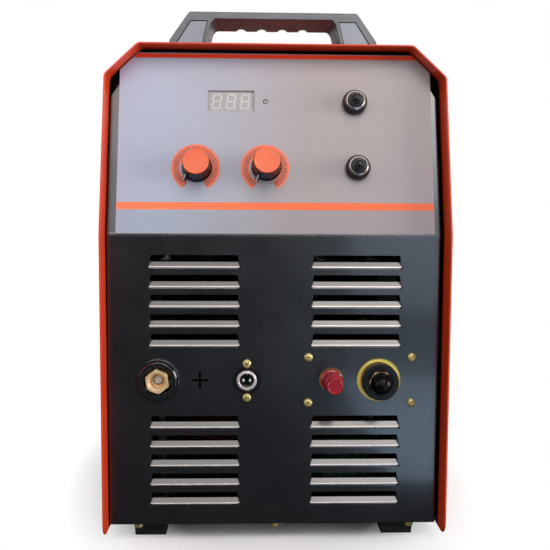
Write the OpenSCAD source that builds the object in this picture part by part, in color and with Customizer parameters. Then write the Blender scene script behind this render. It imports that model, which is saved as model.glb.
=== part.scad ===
// Free-standing plasma cutting power unit. Millimetres, +Z up.
// The front faces -Y. The origin is on the floor, at the centre of the footprint.
// Modules draw in the case frame, whose Y = 0 is the outer face of the upright front panel.

/* [Case] */
// outside width of the cover
case_w = 320; // [300:1:350]
// height of the roof above the floor
roof_z = 472.5; // [466:0.5:500]
// from the front panel's face to the cover's rear edge
case_len = 545; // [535:1:620]
// thickness of the folded sheet
sheet = 1.5; // [1:0.1:2]
// how far the cover stands forward of the front panel
overhang = 22; // [12:1:26]
// width and height of the cover's cut corners
roof_chamfer = 30.5; // [15:0.5:38]
// radius of the cover's lower corners
corner_r = 14; // [6:1:22]
// how far the rear panel sits inside the cover
rear_recess = 20; // [12:1:26]
// gap between each panel and the cover's sides
side_gap = 3; // [2:0.5:5]
// how far the cover hangs below the panels
cover_drop = 4.5; // [2:0.5:8]

/* [Front panel] */
// height of the fold above the floor
bend_z = 294.5; // [288:0.5:300]
// how far the upper part leans back
panel_tilt = 13; // [6:0.5:15]
// gap along the slope between the leaning part's end and the roof
roof_gap = 5.2; // [4.7:0.1:8.7]
// depth of the folded edges
flange_d = 15; // [10:1:20]
// where the leaning part's cut corners start, from the centre
corner_x = 129; // [120:1:132]
// height of the leaning part's cut corners, along the slope
corner_h = 46.5; // [38:0.5:57]
// length of one louvre
louvre_w = 85; // [60:1:92]
// height of one louvre opening
louvre_h = 11.7; // [8:0.1:13]
// distance from one louvre to the next
louvre_pitch = 18.5; // [16:0.1:19]
// how far each lip is pressed inward
lip_d = 3.5; // [3:0.5:9]
// louvre column, from the centre
louvre_x = 76; // [70:1:84]
// top of the upper louvre group
upper_louvre_z = 275; // [270:0.5:280]
// top of the lower louvre group
lower_louvre_z = 122.7; // [118:0.5:126]

/* [Base] */
// foot height
foot_h = 18.5; // [12:0.5:26]
// foot width
foot_w = 32; // [24:1:38]
// foot length
foot_l = 40; // [30:1:60]
// foot centre, from the cover's side
foot_inset = 39.5; // [36:0.5:55]
// height of the tray's folded edge
tray_h = 30; // [20:1:40]
// tray thickness
tray_t = 2; // [1.5:0.1:3]

/* [Handles] */
// handle width at its base
handle_w = 222; // [190:1:240]
// handle width at the top of the grip
grip_w = 178; // [170:1:186]
// handle height above the roof
handle_h = 56; // [50:0.5:70]
// front-to-back size of a handle
handle_d = 60; // [40:1:70]
// thickness of the grip
grip_t = 8; // [7:0.5:14]
// from the front panel to the front handle
handle_y = 126; // [100:1:150]
// depth of the inset in each leg
inset_d = 1.2; // [0.6:0.1:2]
// depth of the finger grooves
groove_d = 2.6; // [1:0.1:4]
// distance between the finger grooves
groove_pitch = 23.4; // [20:0.1:26]

/* [Controls] */
// gap between the face plate's sides and the panel's sides
plate_inset = 7; // [5.5:0.5:10.5]
// gap between the face plate's cut corners and the cover
corner_gap = 1.3; // [0.8:0.1:4]
// face plate thickness
plate_t = 0.8; // [0.5:0.1:1.2]
// height of the knobs on the slope
knob_s = 63; // [58:0.5:68]
// current knob, left of centre
current_x = 74; // [72:0.5:80]
// delay knob, left of centre
delay_x = 9; // [5:0.5:16]
// knob body radius
knob_r = 13.3; // [11:0.1:15]
// knob height above the face plate
knob_h = 23.2; // [19:0.2:28]
// travel of a knob, in degrees
knob_sweep = 270; // [260:1:300]
// turn of the delay knob away from its stop, in degrees
delay_rest = 11; // [0:1:60]
// how far the delay knob stands out on its shaft
delay_lift = 5; // [0:0.5:6]
// knob shaft radius
shaft_r = 3; // [2.5:0.1:3.2]
// toggle switches, right of centre
toggle_x = 75; // [68:0.5:82]
// height of the lower toggle on the slope
mode_s = 63.5; // [60:0.5:68]
// how far the lower toggle stands outside the upper one
mode_shift = 2; // [0:0.5:4]
// height of the upper toggle on the slope
gas_s = 127.5; // [122:0.5:132]
// radius of a toggle's round nut
toggle_nut_r = 11.7; // [10.5:0.1:13]
// rest angle of the levers below the panel's normal
lever_tilt = 7; // [4:0.5:9]
// display window, left of centre
display_x = 42.5; // [42:0.5:46]
// height of the display on the slope
display_s = 128.6; // [124:0.5:132]
// window width
window_w = 43; // [42:0.5:48]
// distance between the digits
digit_pitch = 13.4; // [12:0.1:14]
// window height
window_h = 20.6; // [18:0.2:24]
// pilot lamp, left of centre
lamp_x = 10; // [6:0.5:12]

/* [Connectors] */
// height of the connector row
row_z = 157; // [154:0.5:160]
// work socket, left of centre
work_x = 110.5; // [108:0.5:114]
// radius of the work socket's flange
work_flange_r = 20.5; // [18:0.5:22]
// work socket's plug bore radius
work_bore_r = 6.5; // [5:0.1:7]
// control connector, left of centre
control_x = 27; // [25:0.2:32]
// radius of the control connector's shell
control_r = 9.7; // [9:0.1:10.5]
// radius of the control connector's flange
control_flange_r = 13.3; // [11.8:0.1:13.6]
// distance between the control connector's screws
control_pitch = 32.4; // [31:0.2:36]
// centre of the terminal board, right of the middle
board_x = 80; // [78:0.5:82]
// board screw spacing across
board_px = 98; // [94:1:102]
// board screw spacing up and down
board_pz = 43.5; // [40:0.5:48]
// terminal board thickness
board_t = 6; // [4:0.5:8]
// pilot arc post, right of centre
pilot_x = 53.2; // [50:0.2:55]
// radius of the pilot arc post's collar
pilot_r = 10.6; // [9:0.1:11]
// reach of the pilot arc post
pilot_reach = 30; // [29:0.5:34]
// torch connector, right of centre
torch_x = 98.2; // [95:0.2:100]
// radius of the torch connector's insulator
torch_r = 17.2; // [15:0.1:17.5]
// radius of the torch stud
torch_stud_r = 6.5; // [5:0.1:7]
// radius of the torch stud's cap
torch_cap_r = 10.2; // [9.2:0.05:10.5]

/* [Rear] */
// fan size
fan_w = 120; // [112:1:124]
// fan depth
fan_d = 38; // [32:1:40]
// fan centre, from the middle
fan_x = 74; // [70:1:78]
// height of the fans
fan_z = 245; // [235:1:255]
// breaker, left of centre seen from the front
breaker_x = 92; // [80:1:100]
// height of the breaker
breaker_z = 385; // [375:1:392]
// height of the cable gland and the gas inlet
fittings_z = 66; // [60:1:80]
// cable gland and gas inlet, from the cover's side
fittings_inset = 60; // [52:1:70]
// radius of the cable gland's bore
gland_bore_r = 7.5; // [6:0.1:8.5]
// radius of the gas inlet's end
inlet_r = 6.5; // [5.5:0.1:7.5]
// reach of the gas inlet behind the rear panel
inlet_reach = 34; // [32:1:40]

/* [Fits] */
// gap between sheet parts that lie side by side
fit = 0.3; // [0.2:0.05:0.5]
// radial running clearance of shafts
run = 0.05; // [0.02:0.01:0.08]
// hole allowance round a screw
screw_gap = 0.3; // [0.2:0.05:0.5]

/* [Hidden] */
$fn = 48;
eps = 0.01;
rear_y = case_len - rear_recess;
front_reach = pilot_reach;
rear_reach = max(rear_y + inlet_reach, case_len);
panel_y = (front_reach - rear_reach) / 2;
half_w = case_w / 2;
inner_w = half_w - sheet;
panel_w = inner_w - side_gap;
tray_w = inner_w - fit;
floor_z = foot_h + tray_t;
panel_z = foot_h - sheet;
cover_z = panel_z - cover_drop;
nose_y = -overhang;
slope_y = nose_y + (roof_z - bend_z) * tan(panel_tilt);
slope_len = (roof_z - bend_z) / cos(panel_tilt) - roof_gap;
corner_s = slope_len - corner_h;
louvre_rows = 5;
m4_r = 2;
m4_head_r = 4;
m4_head_h = 3;
m4_hole_r = m4_r + screw_gap;
cover_screw_z = foot_h + tray_h / 2 + 4;
foot_x = half_w - foot_inset;
plate_w = 2 * (panel_w - plate_inset);
fittings_x = half_w - fittings_inset;
shelf_l = 240;
shelf_y1 = rear_y - 85;
shelf_y0 = shelf_y1 - shelf_l;
vent_y = shelf_y0 + 40;
vent_w = 4;
vent_h = 90;
vent_pitch = 12;
vent_z = [150, 290];
tray_slot = [60, 5, 12];
cover_screw_y = [40, case_len / 2 - 60, case_len / 2 + 60, case_len - 60];
handle_pos = [handle_y, case_len - overhang - handle_y - handle_d];
handle_screw_x = handle_w / 2 - 16;
handle_foot_h = 25;
groove_r = 9;
knob_base_h = 1.2;
knob_top_r = knob_r - 0.7;
knob_cap_r = knob_top_r - 0.5;
knob_cap_t = 3;
pointer_r = knob_r + 4;
pointer_turn = -90 - (360 - knob_sweep) / 2;
bush_r = 4.8;
bush_h = 5.5;
toggle_nut_h = 9.5;
toggle_pivot = 8.5;
toggle_pin_r = 0.8;
toggle_pin_l = 16.4;
boot_r = 6.9;
fold_r = 7.4;
work_hole_r = 15;
hex_r = 11.7;
hex_front = 9;
hex_turn = 37.5;
control_hole_r = 8.3;
board_w = board_px + 22;
board_h = board_pz + 18;
board_y = sheet;
torch_hole_r = 20.8;
pilot_hole_r = 11.4;
stud_r = 3;
nut_r = 8.8;
nut_tip_r = 7.6;
collar_h = 5;
washer_t = 1.2;
torch_face = 12;
hub_r = 21;
blade_r = fan_w / 2 - 4.5;
fan_hole_r = fan_w / 2 - 4;
fan_pitch = fan_w - 15;
fan_y = rear_y - sheet - fan_d;
breaker_w = 54;
breaker_h = 80;
breaker_neck = 45;
breaker_front = 6;
shelf_z = 188;
shelf_t = 2;
fin_h = 38;
sink_t = 10;
fin_t = 3;
sink_x = 14;
sink_w = half_w - 40;
sink_l = 180;
sink_y = shelf_y0 + 35;
power_x = sink_x - 2;
power_w = sink_w + 6;
power_edge = 6;
switch_w = 36;
switch_l = 60;
switch_edge = 12;
switch_row = 14;
capacitor_r = 17.5;
capacitor_h = 48;
capacitor_bevel = 2;
capacitor_edge = 26;
capacitor_row = 30;
capacitor_pitch = 46;
module_h = 16;
board_th = 1.6;
core_w = 92;
core_l = 66;
core_h = 84;
core_x = half_w - 84;
core_y = shelf_y0 + 15;
core_leg = 14;
coil_over = 15;
coil_gap = 1;
choke_r = 50;
choke_h = 44;
choke_bevel = 4;
choke_bore = 19;
choke_y = core_y + core_l + 91;
post_r = 2.5;
control_w = 190;
control_h = 128;
control_left = half_w - 20;
control_s = 24;
control_depth = 36;
control_post = 4;
ignition_w = 96;
ignition_l = 90;
ignition_x = half_w - 34 - ignition_w;
ignition_y = core_y - coil_over - 36 - ignition_l;
ignition_post = 5;
ignition_rise = 10;
coil_box = [48, 50, 40];
valve_w = 34;
valve_l = 36;
valve_back = 22;
valve_coil_r = 14;
valve_coil_h = 36;

// ---------- frames and helpers ----------

module case_frame() {
    translate([0, panel_y, 0]) children();
}

// local X right, Y up, Z outward from the upright part of the front panel
module on_front(x, z) {
    translate([x, 0, z]) rotate([90, 0, 0]) children();
}

// local X right, Y up the slope, Z outward from the leaning part
module on_slope(x, s) {
    translate([0, 0, bend_z]) rotate([90 - panel_tilt, 0, 0]) translate([x, s, 0]) children();
}

// seat of a toggle switch, the lower one a little further out
module on_toggle(s) {
    on_slope(toggle_x + (s == mode_s ? mode_shift : 0), s) children();
}

// local Z outward from the rear panel, local Y down
module on_rear(x, z) {
    translate([x, rear_y, z]) rotate([-90, 0, 0]) children();
}

// a flat [y, z] outline drawn out along X
module along_x(x0, x1) {
    translate([x0, 0, 0]) rotate([90, 0, 90]) linear_extrude(height = x1 - x0) children();
}

// a flat [x, z] outline drawn out along Y
module along_y(y0, y1) {
    translate([0, y1, 0]) rotate([90, 0, 0]) linear_extrude(height = y1 - y0) children();
}

module box(x0, x1, y0, y1, z0, z1) {
    translate([x0, y0, z0]) cube([x1 - x0, y1 - y0, z1 - z0]);
}

module tube(r_out, r_in, z0, z1) {
    translate([0, 0, z0]) difference() {
        cylinder(r = r_out, h = z1 - z0);
        translate([0, 0, -1]) cylinder(r = r_in, h = z1 - z0 + 2);
    }
}

module nut(r, hole, z0, z1) {
    difference() {
        translate([0, 0, z0]) cylinder(r = r, h = z1 - z0, $fn = 6);
        translate([0, 0, z0 - 1]) cylinder(r = hole, h = z1 - z0 + 2);
    }
}

// pan head screw, head outward from z = 0
module pan_screw(r, head_r, head_h, length) {
    difference() {
        union() {
            translate([0, 0, -length]) cylinder(r = r, h = length + head_h / 2);
            cylinder(r = head_r, h = head_h * 0.55);
            translate([0, 0, head_h * 0.55]) cylinder(r1 = head_r, r2 = head_r * 0.62, h = head_h * 0.45);
        }
        translate([0, 0, head_h]) cube([head_r * 1.1, head_r * 0.24, head_h], center = true);
        translate([0, 0, head_h]) cube([head_r * 0.24, head_r * 1.1, head_h], center = true);
    }
}

// pan head screw with a split washer and a flat washer under its head
module sems_screw(length) {
    translate([0, 0, 2]) pan_screw(m4_r, m4_head_r + 0.25, m4_head_h + 0.4, length + 2);
    tube(m4_head_r + 0.6, m4_r - 0.1, 0, 0.9);
    tube(m4_head_r - 0.3, m4_r - 0.1, 0.9, 2 + eps);
}

// ---------- case ----------

module shell_outline(inset) {
    cut = inset * (sqrt(2) - 1);
    x = half_w - inset;
    top = roof_z - inset;
    polygon([[-x, cover_z - 1], [-x, roof_z - roof_chamfer - cut], [-half_w + roof_chamfer + cut, top],
        [half_w - roof_chamfer - cut, top], [x, roof_z - roof_chamfer - cut], [x, cover_z - 1]]);
}

module shell_side() {
    back = case_len;
    difference() {
        polygon([[nose_y, cover_z], [nose_y, bend_z], [slope_y, roof_z], [slope_y, roof_z + 1],
            [back, roof_z + 1], [back, cover_z]]);
        difference() {
            translate([nose_y - 1, cover_z - 1]) square(corner_r + 1);
            translate([nose_y + corner_r, cover_z + corner_r]) circle(r = corner_r);
        }
        difference() {
            translate([back - corner_r, cover_z - 1]) square(corner_r + 1);
            translate([back - corner_r, cover_z + corner_r]) circle(r = corner_r);
        }
    }
}

module side_vents() {
    for (k = [0 : 15])
        for (z = vent_z)
            box(-half_w - 1, half_w + 1, vent_y + k * vent_pitch, vent_y + k * vent_pitch + vent_w, z, z + vent_h);
}

module cover() color([0.83, 0.2, 0.08]) case_frame() {
    difference() {
        intersection() {
            along_y(nose_y - 1, case_len + 1) difference() {
                shell_outline(0);
                translate([0, -2]) shell_outline(sheet);
                shell_outline(sheet);
            }
            along_x(-half_w - 1, half_w + 1) shell_side();
        }
        side_vents();
        for (y = cover_screw_y)
            translate([0, y, cover_screw_z]) rotate([0, 90, 0])
                cylinder(r = m4_hole_r, h = case_w + 2, center = true);
        for (y = handle_pos)
            for (x = [-handle_screw_x, handle_screw_x])
                for (dy = [handle_d * 0.25, handle_d * 0.75])
                    translate([x, y + dy, roof_z - sheet - 1]) cylinder(r = m4_hole_r, h = sheet + 2);
    }
}

module base_tray() color([0.05, 0.05, 0.055]) case_frame() {
    front = sheet + fit;
    back = rear_y - sheet - fit;
    difference() {
        union() {
            box(sheet + fit - panel_w, panel_w - sheet - fit, front, back, foot_h, foot_h + tray_t);
            box(-tray_w, tray_w, front + flange_d, back - flange_d, foot_h, foot_h + tray_t);
            for (m = [0, 1])
                mirror([m, 0, 0]) box(tray_w - tray_t, tray_w, front + flange_d + 1, back - flange_d - 1,
                    foot_h, foot_h + tray_h);
        }
        for (y = cover_screw_y)
            translate([0, y, cover_screw_z]) rotate([0, 90, 0])
                cylinder(r = m4_hole_r, h = case_w, center = true);
        for (x = [-foot_x, foot_x])
            for (y = foot_rows())
                translate([x, y, 0]) cylinder(r = m4_hole_r, h = floor_z + 1);
        for (x = panel_screw_x())
            for (y = panel_screw_y())
                translate([x, y, 0]) cylinder(r = m4_hole_r, h = floor_z + 1);
        for (x = [-tray_slot[0], tray_slot[0]])
            for (y = [core_y - 95, core_y + 115])
                for (k = [-2 : 2])
                    translate([x - tray_slot[0] / 2, y + k * tray_slot[2], foot_h - 1])
                        cube([tray_slot[0], tray_slot[1], tray_t + 2]);
    }
}

function foot_rows() = [flange_d + 0.5 + foot_l / 2, rear_y - flange_d - 0.5 - foot_l / 2];
function panel_screw_x() = [-foot_x - 10, 0, foot_x + 10];
function panel_screw_y() = [7, rear_y - 7];

module feet() color([0.03, 0.03, 0.03]) case_frame() {
    for (x = [-foot_x, foot_x])
        for (y = foot_rows())
            translate([x, y, 0]) difference() {
                along_y(-foot_l / 2, foot_l / 2)
                    polygon([[-foot_w / 2 + 1, 0], [foot_w / 2 - 1, 0], [foot_w / 2, foot_h], [-foot_w / 2, foot_h]]);
                translate([0, 0, -1]) cylinder(r = m4_head_r + 2, h = 9);
                translate([0, 0, -1]) cylinder(r = m4_hole_r, h = foot_h + 2);
            }
}

// folded edge of a panel: [y, z] outline of the front panel seen from the side
module panel_profile(depth) {
    lean = [slope_len * sin(panel_tilt), slope_len * cos(panel_tilt)];
    nx = depth * cos(panel_tilt);
    nz = -depth * sin(panel_tilt);
    fold = depth * tan(panel_tilt / 2);
    polygon([[0, panel_z], [0, bend_z], [lean[0], bend_z + lean[1]],
        [lean[0] + nx, bend_z + lean[1] + nz], [depth, bend_z - fold], [depth, panel_z]]);
}

function louvre_tops() = [for (k = [0 : louvre_rows - 1], z = [upper_louvre_z, lower_louvre_z]) z - k * louvre_pitch];

module louvre_opening() {
    w = louvre_w / 2;
    rotate([90, 0, 0]) translate([0, 0, -sheet - 1]) linear_extrude(height = sheet + 2)
        polygon([[-w, 0], [w, 0], [w - 0.4, louvre_h * 0.3], [w - 2.2, louvre_h], [2.2 - w, louvre_h],
            [0.4 - w, louvre_h * 0.3]]);
}

module louvre_lip() {
    rise = louvre_h * 0.53;
    w = louvre_w / 2;
    intersection() {
        along_x(-w, w) polygon([[0, -1], [0, 0], [lip_d, rise], [lip_d + 0.8, rise - 0.9], [sheet, -1.2], [sheet, -2]]);
        along_y(-1, lip_d + 2) polygon([[-w, -3], [w, -3], [w, 0], [w - 2.2, rise + 1], [2.2 - w, rise + 1], [-w, 0]]);
    }
}

// what the cut corners take off the leaning part
module slope_corners() {
    steep = (slope_len - corner_s) / (panel_w - corner_x);
    for (m = [0, 1])
        on_slope(0, 0) mirror([m, 0, 0]) translate([0, 0, -40]) linear_extrude(height = 60)
            polygon([[corner_x - 9, slope_len + 9 * steep], [panel_w + 9, corner_s - 9 * steep],
                [panel_w + 60, slope_len + 9 * steep]]);
}

module front_panel() color([0.08, 0.085, 0.095]) case_frame() {
    difference() {
        along_x(-panel_w, panel_w) panel_profile(flange_d);
        along_x(-panel_w + sheet, panel_w - sheet) panel_hollow();
        slope_corners();
        for (x = [-louvre_x, louvre_x])
            for (z = louvre_tops())
                translate([x, 0, z - louvre_h]) louvre_opening();
        front_holes();
    }
    for (x = [-louvre_x, louvre_x])
        for (z = louvre_tops())
            translate([x, 0, z - louvre_h]) louvre_lip();
}

// hollow of the front panel behind its skin
module panel_hollow() {
    lean = [(slope_len - sheet) * sin(panel_tilt), (slope_len - sheet) * cos(panel_tilt)];
    sx = sheet * cos(panel_tilt);
    sz = -sheet * sin(panel_tilt);
    fold = sheet * tan(panel_tilt / 2);
    dx = 30 * cos(panel_tilt);
    dz = -30 * sin(panel_tilt);
    polygon([[sheet, panel_z + sheet], [sheet, bend_z - fold],
        [lean[0] + sx, bend_z + lean[1] + sz], [lean[0] + dx, bend_z + lean[1] + dz],
        [40, bend_z - 10], [40, panel_z + sheet]]);
}

module front_holes() {
    on_front(-work_x, row_z) translate([0, 0, -sheet - 1]) cylinder(r = work_hole_r + screw_gap, h = sheet + 2);
    on_front(-control_x, row_z) {
        translate([0, 0, -sheet - 1]) cylinder(r = control_hole_r, h = sheet + 2);
        for (s = [-1, 1])
            translate([0, s * control_pitch / 2, -sheet - 1]) cylinder(r = m4_hole_r, h = sheet + 2);
    }
    on_front(pilot_x, row_z) translate([0, 0, -sheet - 1]) cylinder(r = pilot_hole_r, h = sheet + 2);
    on_front(torch_x, row_z) translate([0, 0, -sheet - 1]) cylinder(r = torch_hole_r, h = sheet + 2);
    for (sx = [-1, 1])
        for (sz = [-1, 1])
            on_front(board_x + sx * board_px / 2, row_z + sz * board_pz / 2)
                translate([0, 0, -sheet - 1]) cylinder(r = m4_hole_r, h = sheet + 2);
    // polarity mark beside the work socket
    on_front(-work_x + 40.4, row_z) for (a = [0, 90])
        rotate([0, 0, a]) translate([0, 0, -sheet / 2]) cube([15.6, 2, sheet + 2], center = true);
    for (x = [-current_x, -delay_x])
        on_slope(x, knob_s) translate([0, 0, -sheet - 1]) cylinder(r = bush_r + screw_gap, h = sheet + 2);
    for (s = [gas_s, mode_s])
        on_toggle(s) translate([0, 0, -sheet - 1]) cylinder(r = 6 + screw_gap, h = sheet + 2);
    on_slope(-display_x, display_s) translate([0, 0, -sheet / 2])
        cube([window_w + 6, window_h + 6, sheet + 2], center = true);
    on_slope(-lamp_x, display_s) translate([0, 0, -sheet - 1]) cylinder(r = 3, h = sheet + 2);
    for (x = panel_screw_x())
        translate([x, panel_screw_y()[0], panel_z - 1]) cylinder(r = m4_hole_r, h = sheet + 2);
}

module rear_panel() color([0.08, 0.085, 0.095]) case_frame() {
    top = roof_z - sheet - fit - 3;
    cut = roof_chamfer + 2;
    difference() {
        union() {
            along_y(rear_y - sheet, rear_y)
                polygon([[-panel_w, panel_z], [-panel_w, top - cut], [-panel_w + cut, top], [panel_w - cut, top],
                    [panel_w, top - cut], [panel_w, panel_z]]);
            for (m = [0, 1])
                mirror([m, 0, 0]) box(panel_w - sheet, panel_w, rear_y - flange_d, rear_y, panel_z, top - cut);
            box(-panel_w, panel_w, rear_y - flange_d, rear_y, panel_z, panel_z + sheet);
            box(-panel_w + cut, panel_w - cut, rear_y - flange_d, rear_y, top - sheet, top);
        }
        for (x = [-fan_x, fan_x])
            on_rear(x, fan_z) {
                translate([0, 0, -sheet - 1]) cylinder(r = fan_hole_r, h = sheet + 2);
                for (sx = [-1, 1])
                    for (sy = [-1, 1])
                        translate([sx * fan_pitch / 2, sy * fan_pitch / 2, -sheet - 1])
                            cylinder(r = m4_hole_r, h = sheet + 2);
            }
        on_rear(-breaker_x, breaker_z) translate([0, 0, -sheet / 2])
            cube([breaker_w + 2 * fit, breaker_neck + 2 * fit, sheet + 2], center = true);
        on_rear(-fittings_x, fittings_z) translate([0, 0, -sheet - 1]) cylinder(r = 10.3, h = sheet + 2);
        on_rear(fittings_x, fittings_z) translate([0, 0, -sheet - 1]) cylinder(r = 8.3, h = sheet + 2);
        on_rear(0, fittings_z) translate([0, 0, -sheet - 1]) cylinder(r = 4.3, h = sheet + 2);
        for (x = panel_screw_x())
            translate([x, panel_screw_y()[1], panel_z - 1]) cylinder(r = m4_hole_r, h = sheet + 2);
    }
}

// the feet, the cover and the handles are held by the same screw
module case_screws() color([0.75, 0.76, 0.78]) case_frame() {
    for (x = [-foot_x, foot_x])
        for (y = foot_rows())
            translate([x, y, 8]) rotate([180, 0, 0]) pan_screw(m4_r, m4_head_r, m4_head_h, foot_h - 4);
    for (m = [0, 1])
        for (y = cover_screw_y)
            mirror([m, 0, 0]) translate([half_w, y, cover_screw_z]) rotate([0, 90, 0])
                pan_screw(m4_r, m4_head_r, m4_head_h, 8);
    for (y = handle_pos)
        for (x = [-handle_screw_x, handle_screw_x])
            for (dy = [handle_d * 0.25, handle_d * 0.75])
                translate([x, y + dy, roof_z - sheet]) rotate([180, 0, 0]) pan_screw(m4_r, m4_head_r, m4_head_h, 13);
}

module panel_screws() color([0.72, 0.66, 0.35]) case_frame() {
    for (x = panel_screw_x())
        for (y = panel_screw_y())
            translate([x, y, panel_z]) rotate([180, 0, 0]) sems_screw(8);
}

// ---------- handles ----------

module handle_outline() {
    w = handle_w / 2;
    g = grip_w / 2;
    polygon([[-w, 0], [-w, handle_foot_h], [-g, handle_h], [g, handle_h], [w, handle_foot_h], [w, 0]]);
}

module finger_gap() {
    top = handle_h - grip_t;
    a = grip_w / 2 - 26;
    b = a + 16;
    polygon([[-b, -1], [-a - 4, top - 5], [-a + 1, top], [a - 1, top], [a + 4, top - 5], [b, -1]]);
}

module one_handle() {
    r = 5;
    difference() {
        intersection() {
            along_y(0, handle_d) difference() {
                handle_outline();
                finger_gap();
            }
            along_x(-handle_w, handle_w) union() {
                square([handle_d, handle_h - r]);
                translate([r, 0]) square([handle_d - 2 * r, handle_h]);
                translate([r, handle_h - r]) circle(r = r);
                translate([handle_d - r, handle_h - r]) circle(r = r);
            }
        }
        for (k = [-1.5 : 1 : 1.5])
            translate([k * groove_pitch, handle_d + 1, handle_h - grip_t - groove_r + groove_d])
                rotate([96.5, 0, 0]) cylinder(r = groove_r, h = handle_d / 2 + 8);
        for (m = [0, 1])
            mirror([m, 0, 0]) for (y = [-1, handle_d - inset_d])
                along_y(y, y + 1 + inset_d)
                    polygon([[grip_w / 2 - 19, handle_h - 10], [grip_w / 2 - 0.5, handle_h - 10],
                        [handle_w / 2 - 7.5, handle_foot_h - 2], [handle_w / 2 - 7.5, 5], [grip_w / 2 - 9, 5]]);
        for (x = [-handle_screw_x, handle_screw_x])
            for (y = [handle_d * 0.25, handle_d * 0.75])
                translate([x, y, -1]) cylinder(r = m4_hole_r, h = 15);
    }
}

module handles() color([0.2, 0.2, 0.21]) case_frame() {
    for (y = handle_pos)
        translate([0, y, roof_z]) one_handle();
}

// ---------- controls on the leaning panel ----------

// the plate's cut corners run parallel to the cover's
module plate_outline() {
    w = plate_w / 2;
    top = slope_len - 1;
    reach = half_w + roof_z - roof_chamfer - (sheet + corner_gap) * sqrt(2) - bend_z;
    k = cos(panel_tilt);
    polygon([[-w, 0.5], [-w, (reach - w) / k], [top * k - reach, top], [reach - top * k, top], [w, (reach - w) / k],
        [w, 0.5]]);
}

module face_plate() color([0.62, 0.62, 0.67]) case_frame() {
    difference() {
        on_slope(0, 0) linear_extrude(height = plate_t) plate_outline();
        for (x = [-current_x, -delay_x])
            on_slope(x, knob_s) translate([0, 0, -1]) cylinder(r = bush_r + screw_gap, h = plate_t + 2);
        for (s = [gas_s, mode_s])
            on_toggle(s) translate([0, 0, -1]) cylinder(r = 6 + screw_gap, h = plate_t + 2);
        on_slope(-display_x, display_s) translate([0, 0, plate_t / 2])
            cube([window_w, window_h, plate_t + 2], center = true);
        on_slope(-lamp_x, display_s) translate([0, 0, -1]) cylinder(r = 2.6, h = plate_t + 2);
    }
}

module display_bezel() color([0.62, 0.6, 0.6]) case_frame() {
    on_slope(-display_x, display_s) translate([0, 0, -4.5 - 0.6])
        cube([window_w + 4, window_h + 4, 9], center = true);
}

function lean(points, k) = [for (p = points) [p[0] + k * p[1], p[1]]];

// seven bars of a slanted digit and its point
module segment_bars(w, h, t, k) {
    for (y = [0, h / 2, h])
        polygon(lean([[t * 0.4, y - t / 2], [w - t * 0.4, y - t / 2], [w, y], [w - t * 0.4, y + t / 2],
            [t * 0.4, y + t / 2], [0, y]], k));
    for (x = [-0.15, w + 0.15])
        for (y = [0, h / 2])
            polygon(lean([[x, y + t * 0.15], [x + t / 2, y + t * 0.6], [x + t / 2, y + h / 2 - t * 0.6],
                [x, y + h / 2 - t * 0.15], [x - t / 2, y + h / 2 - t * 0.6], [x - t / 2, y + t * 0.6]], k));
    translate([w + t * 1.15, 0]) circle(r = t * 0.55);
}

module display_segments() color([0.86, 0.84, 0.8]) case_frame() {
    on_slope(-display_x, display_s) translate([0, 0, -0.6]) linear_extrude(height = 0.3)
        for (k = [-1 : 1])
            translate([k * digit_pitch - 4.6, -6.9]) segment_bars(7, 13.8, 1.5, 0.12);
}

module display_board() color([0.05, 0.3, 0.14]) case_frame() {
    on_slope(-display_x + 10, display_s) translate([0, 0, -9.6 - board_th])
        translate([-42, -18, 0]) cube([84, 34, board_th]);
}

module pilot_lamp() color([0.75, 0.72, 0.7]) case_frame() {
    on_slope(-lamp_x, display_s) {
        translate([0, 0, -9.6]) cylinder(r = 2.5, h = 9.6 + plate_t - 1);
        translate([0, 0, plate_t - 1]) cylinder(r1 = 2.5, r2 = 1.6, h = 1);
    }
}

module current_at() on_slope(-current_x, knob_s) translate([0, 0, plate_t]) rotate([0, 0, pointer_turn]) children();

module delay_at() {
    on_slope(-delay_x, knob_s) translate([0, 0, plate_t + delay_lift])
        rotate([0, 0, pointer_turn + delay_rest]) children();
}

module knob_body() {
    top = knob_h - knob_cap_t + 0.8;
    difference() {
        union() {
            translate([0, 0, knob_base_h]) cylinder(r = knob_r + 0.8, h = 1.5);
            translate([0, 0, knob_base_h + 1.5]) cylinder(r1 = knob_r, r2 = knob_top_r, h = top - knob_base_h - 1.5);
            along_flat_fin();
        }
        translate([0, 0, knob_h - knob_cap_t]) cylinder(r = knob_cap_r + 0.02, h = knob_cap_t);
        translate([0, 0, -1]) cylinder(r = bush_r + 3.6, h = 9);
        translate([0, 0, 1]) cylinder(r = shaft_r + 0.02, h = 16.1);
    }
}

module along_flat_fin() {
    translate([0, 1.6, 0]) rotate([90, 0, 0]) linear_extrude(height = 3.2)
        polygon([[9, knob_base_h], [pointer_r, knob_base_h], [pointer_r, 4], [knob_r + 0.4, 13.5], [9, 13.5]]);
}

module knob_pointer() {
    translate([0, 0.55, 0]) rotate([90, 0, 0]) linear_extrude(height = 1.1)
        polygon([[pointer_r, 2], [pointer_r + 0.35, 2], [pointer_r + 0.35, 4], [knob_r + 0.75, 13.5],
            [knob_r + 0.4, 13.5], [pointer_r, 4]]);
}

module knob_cap() {
    translate([0, 0, knob_h - knob_cap_t]) cylinder(r = knob_cap_r, h = knob_cap_t - 0.4);
    translate([0, 0, knob_h - 0.4]) cylinder(r1 = knob_cap_r, r2 = knob_cap_r - 0.4, h = 0.4);
}

module knob_shaft(lift = 0) {
    translate([0, 0, -9 - lift]) cylinder(r = shaft_r, h = 26 + lift);
}

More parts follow.
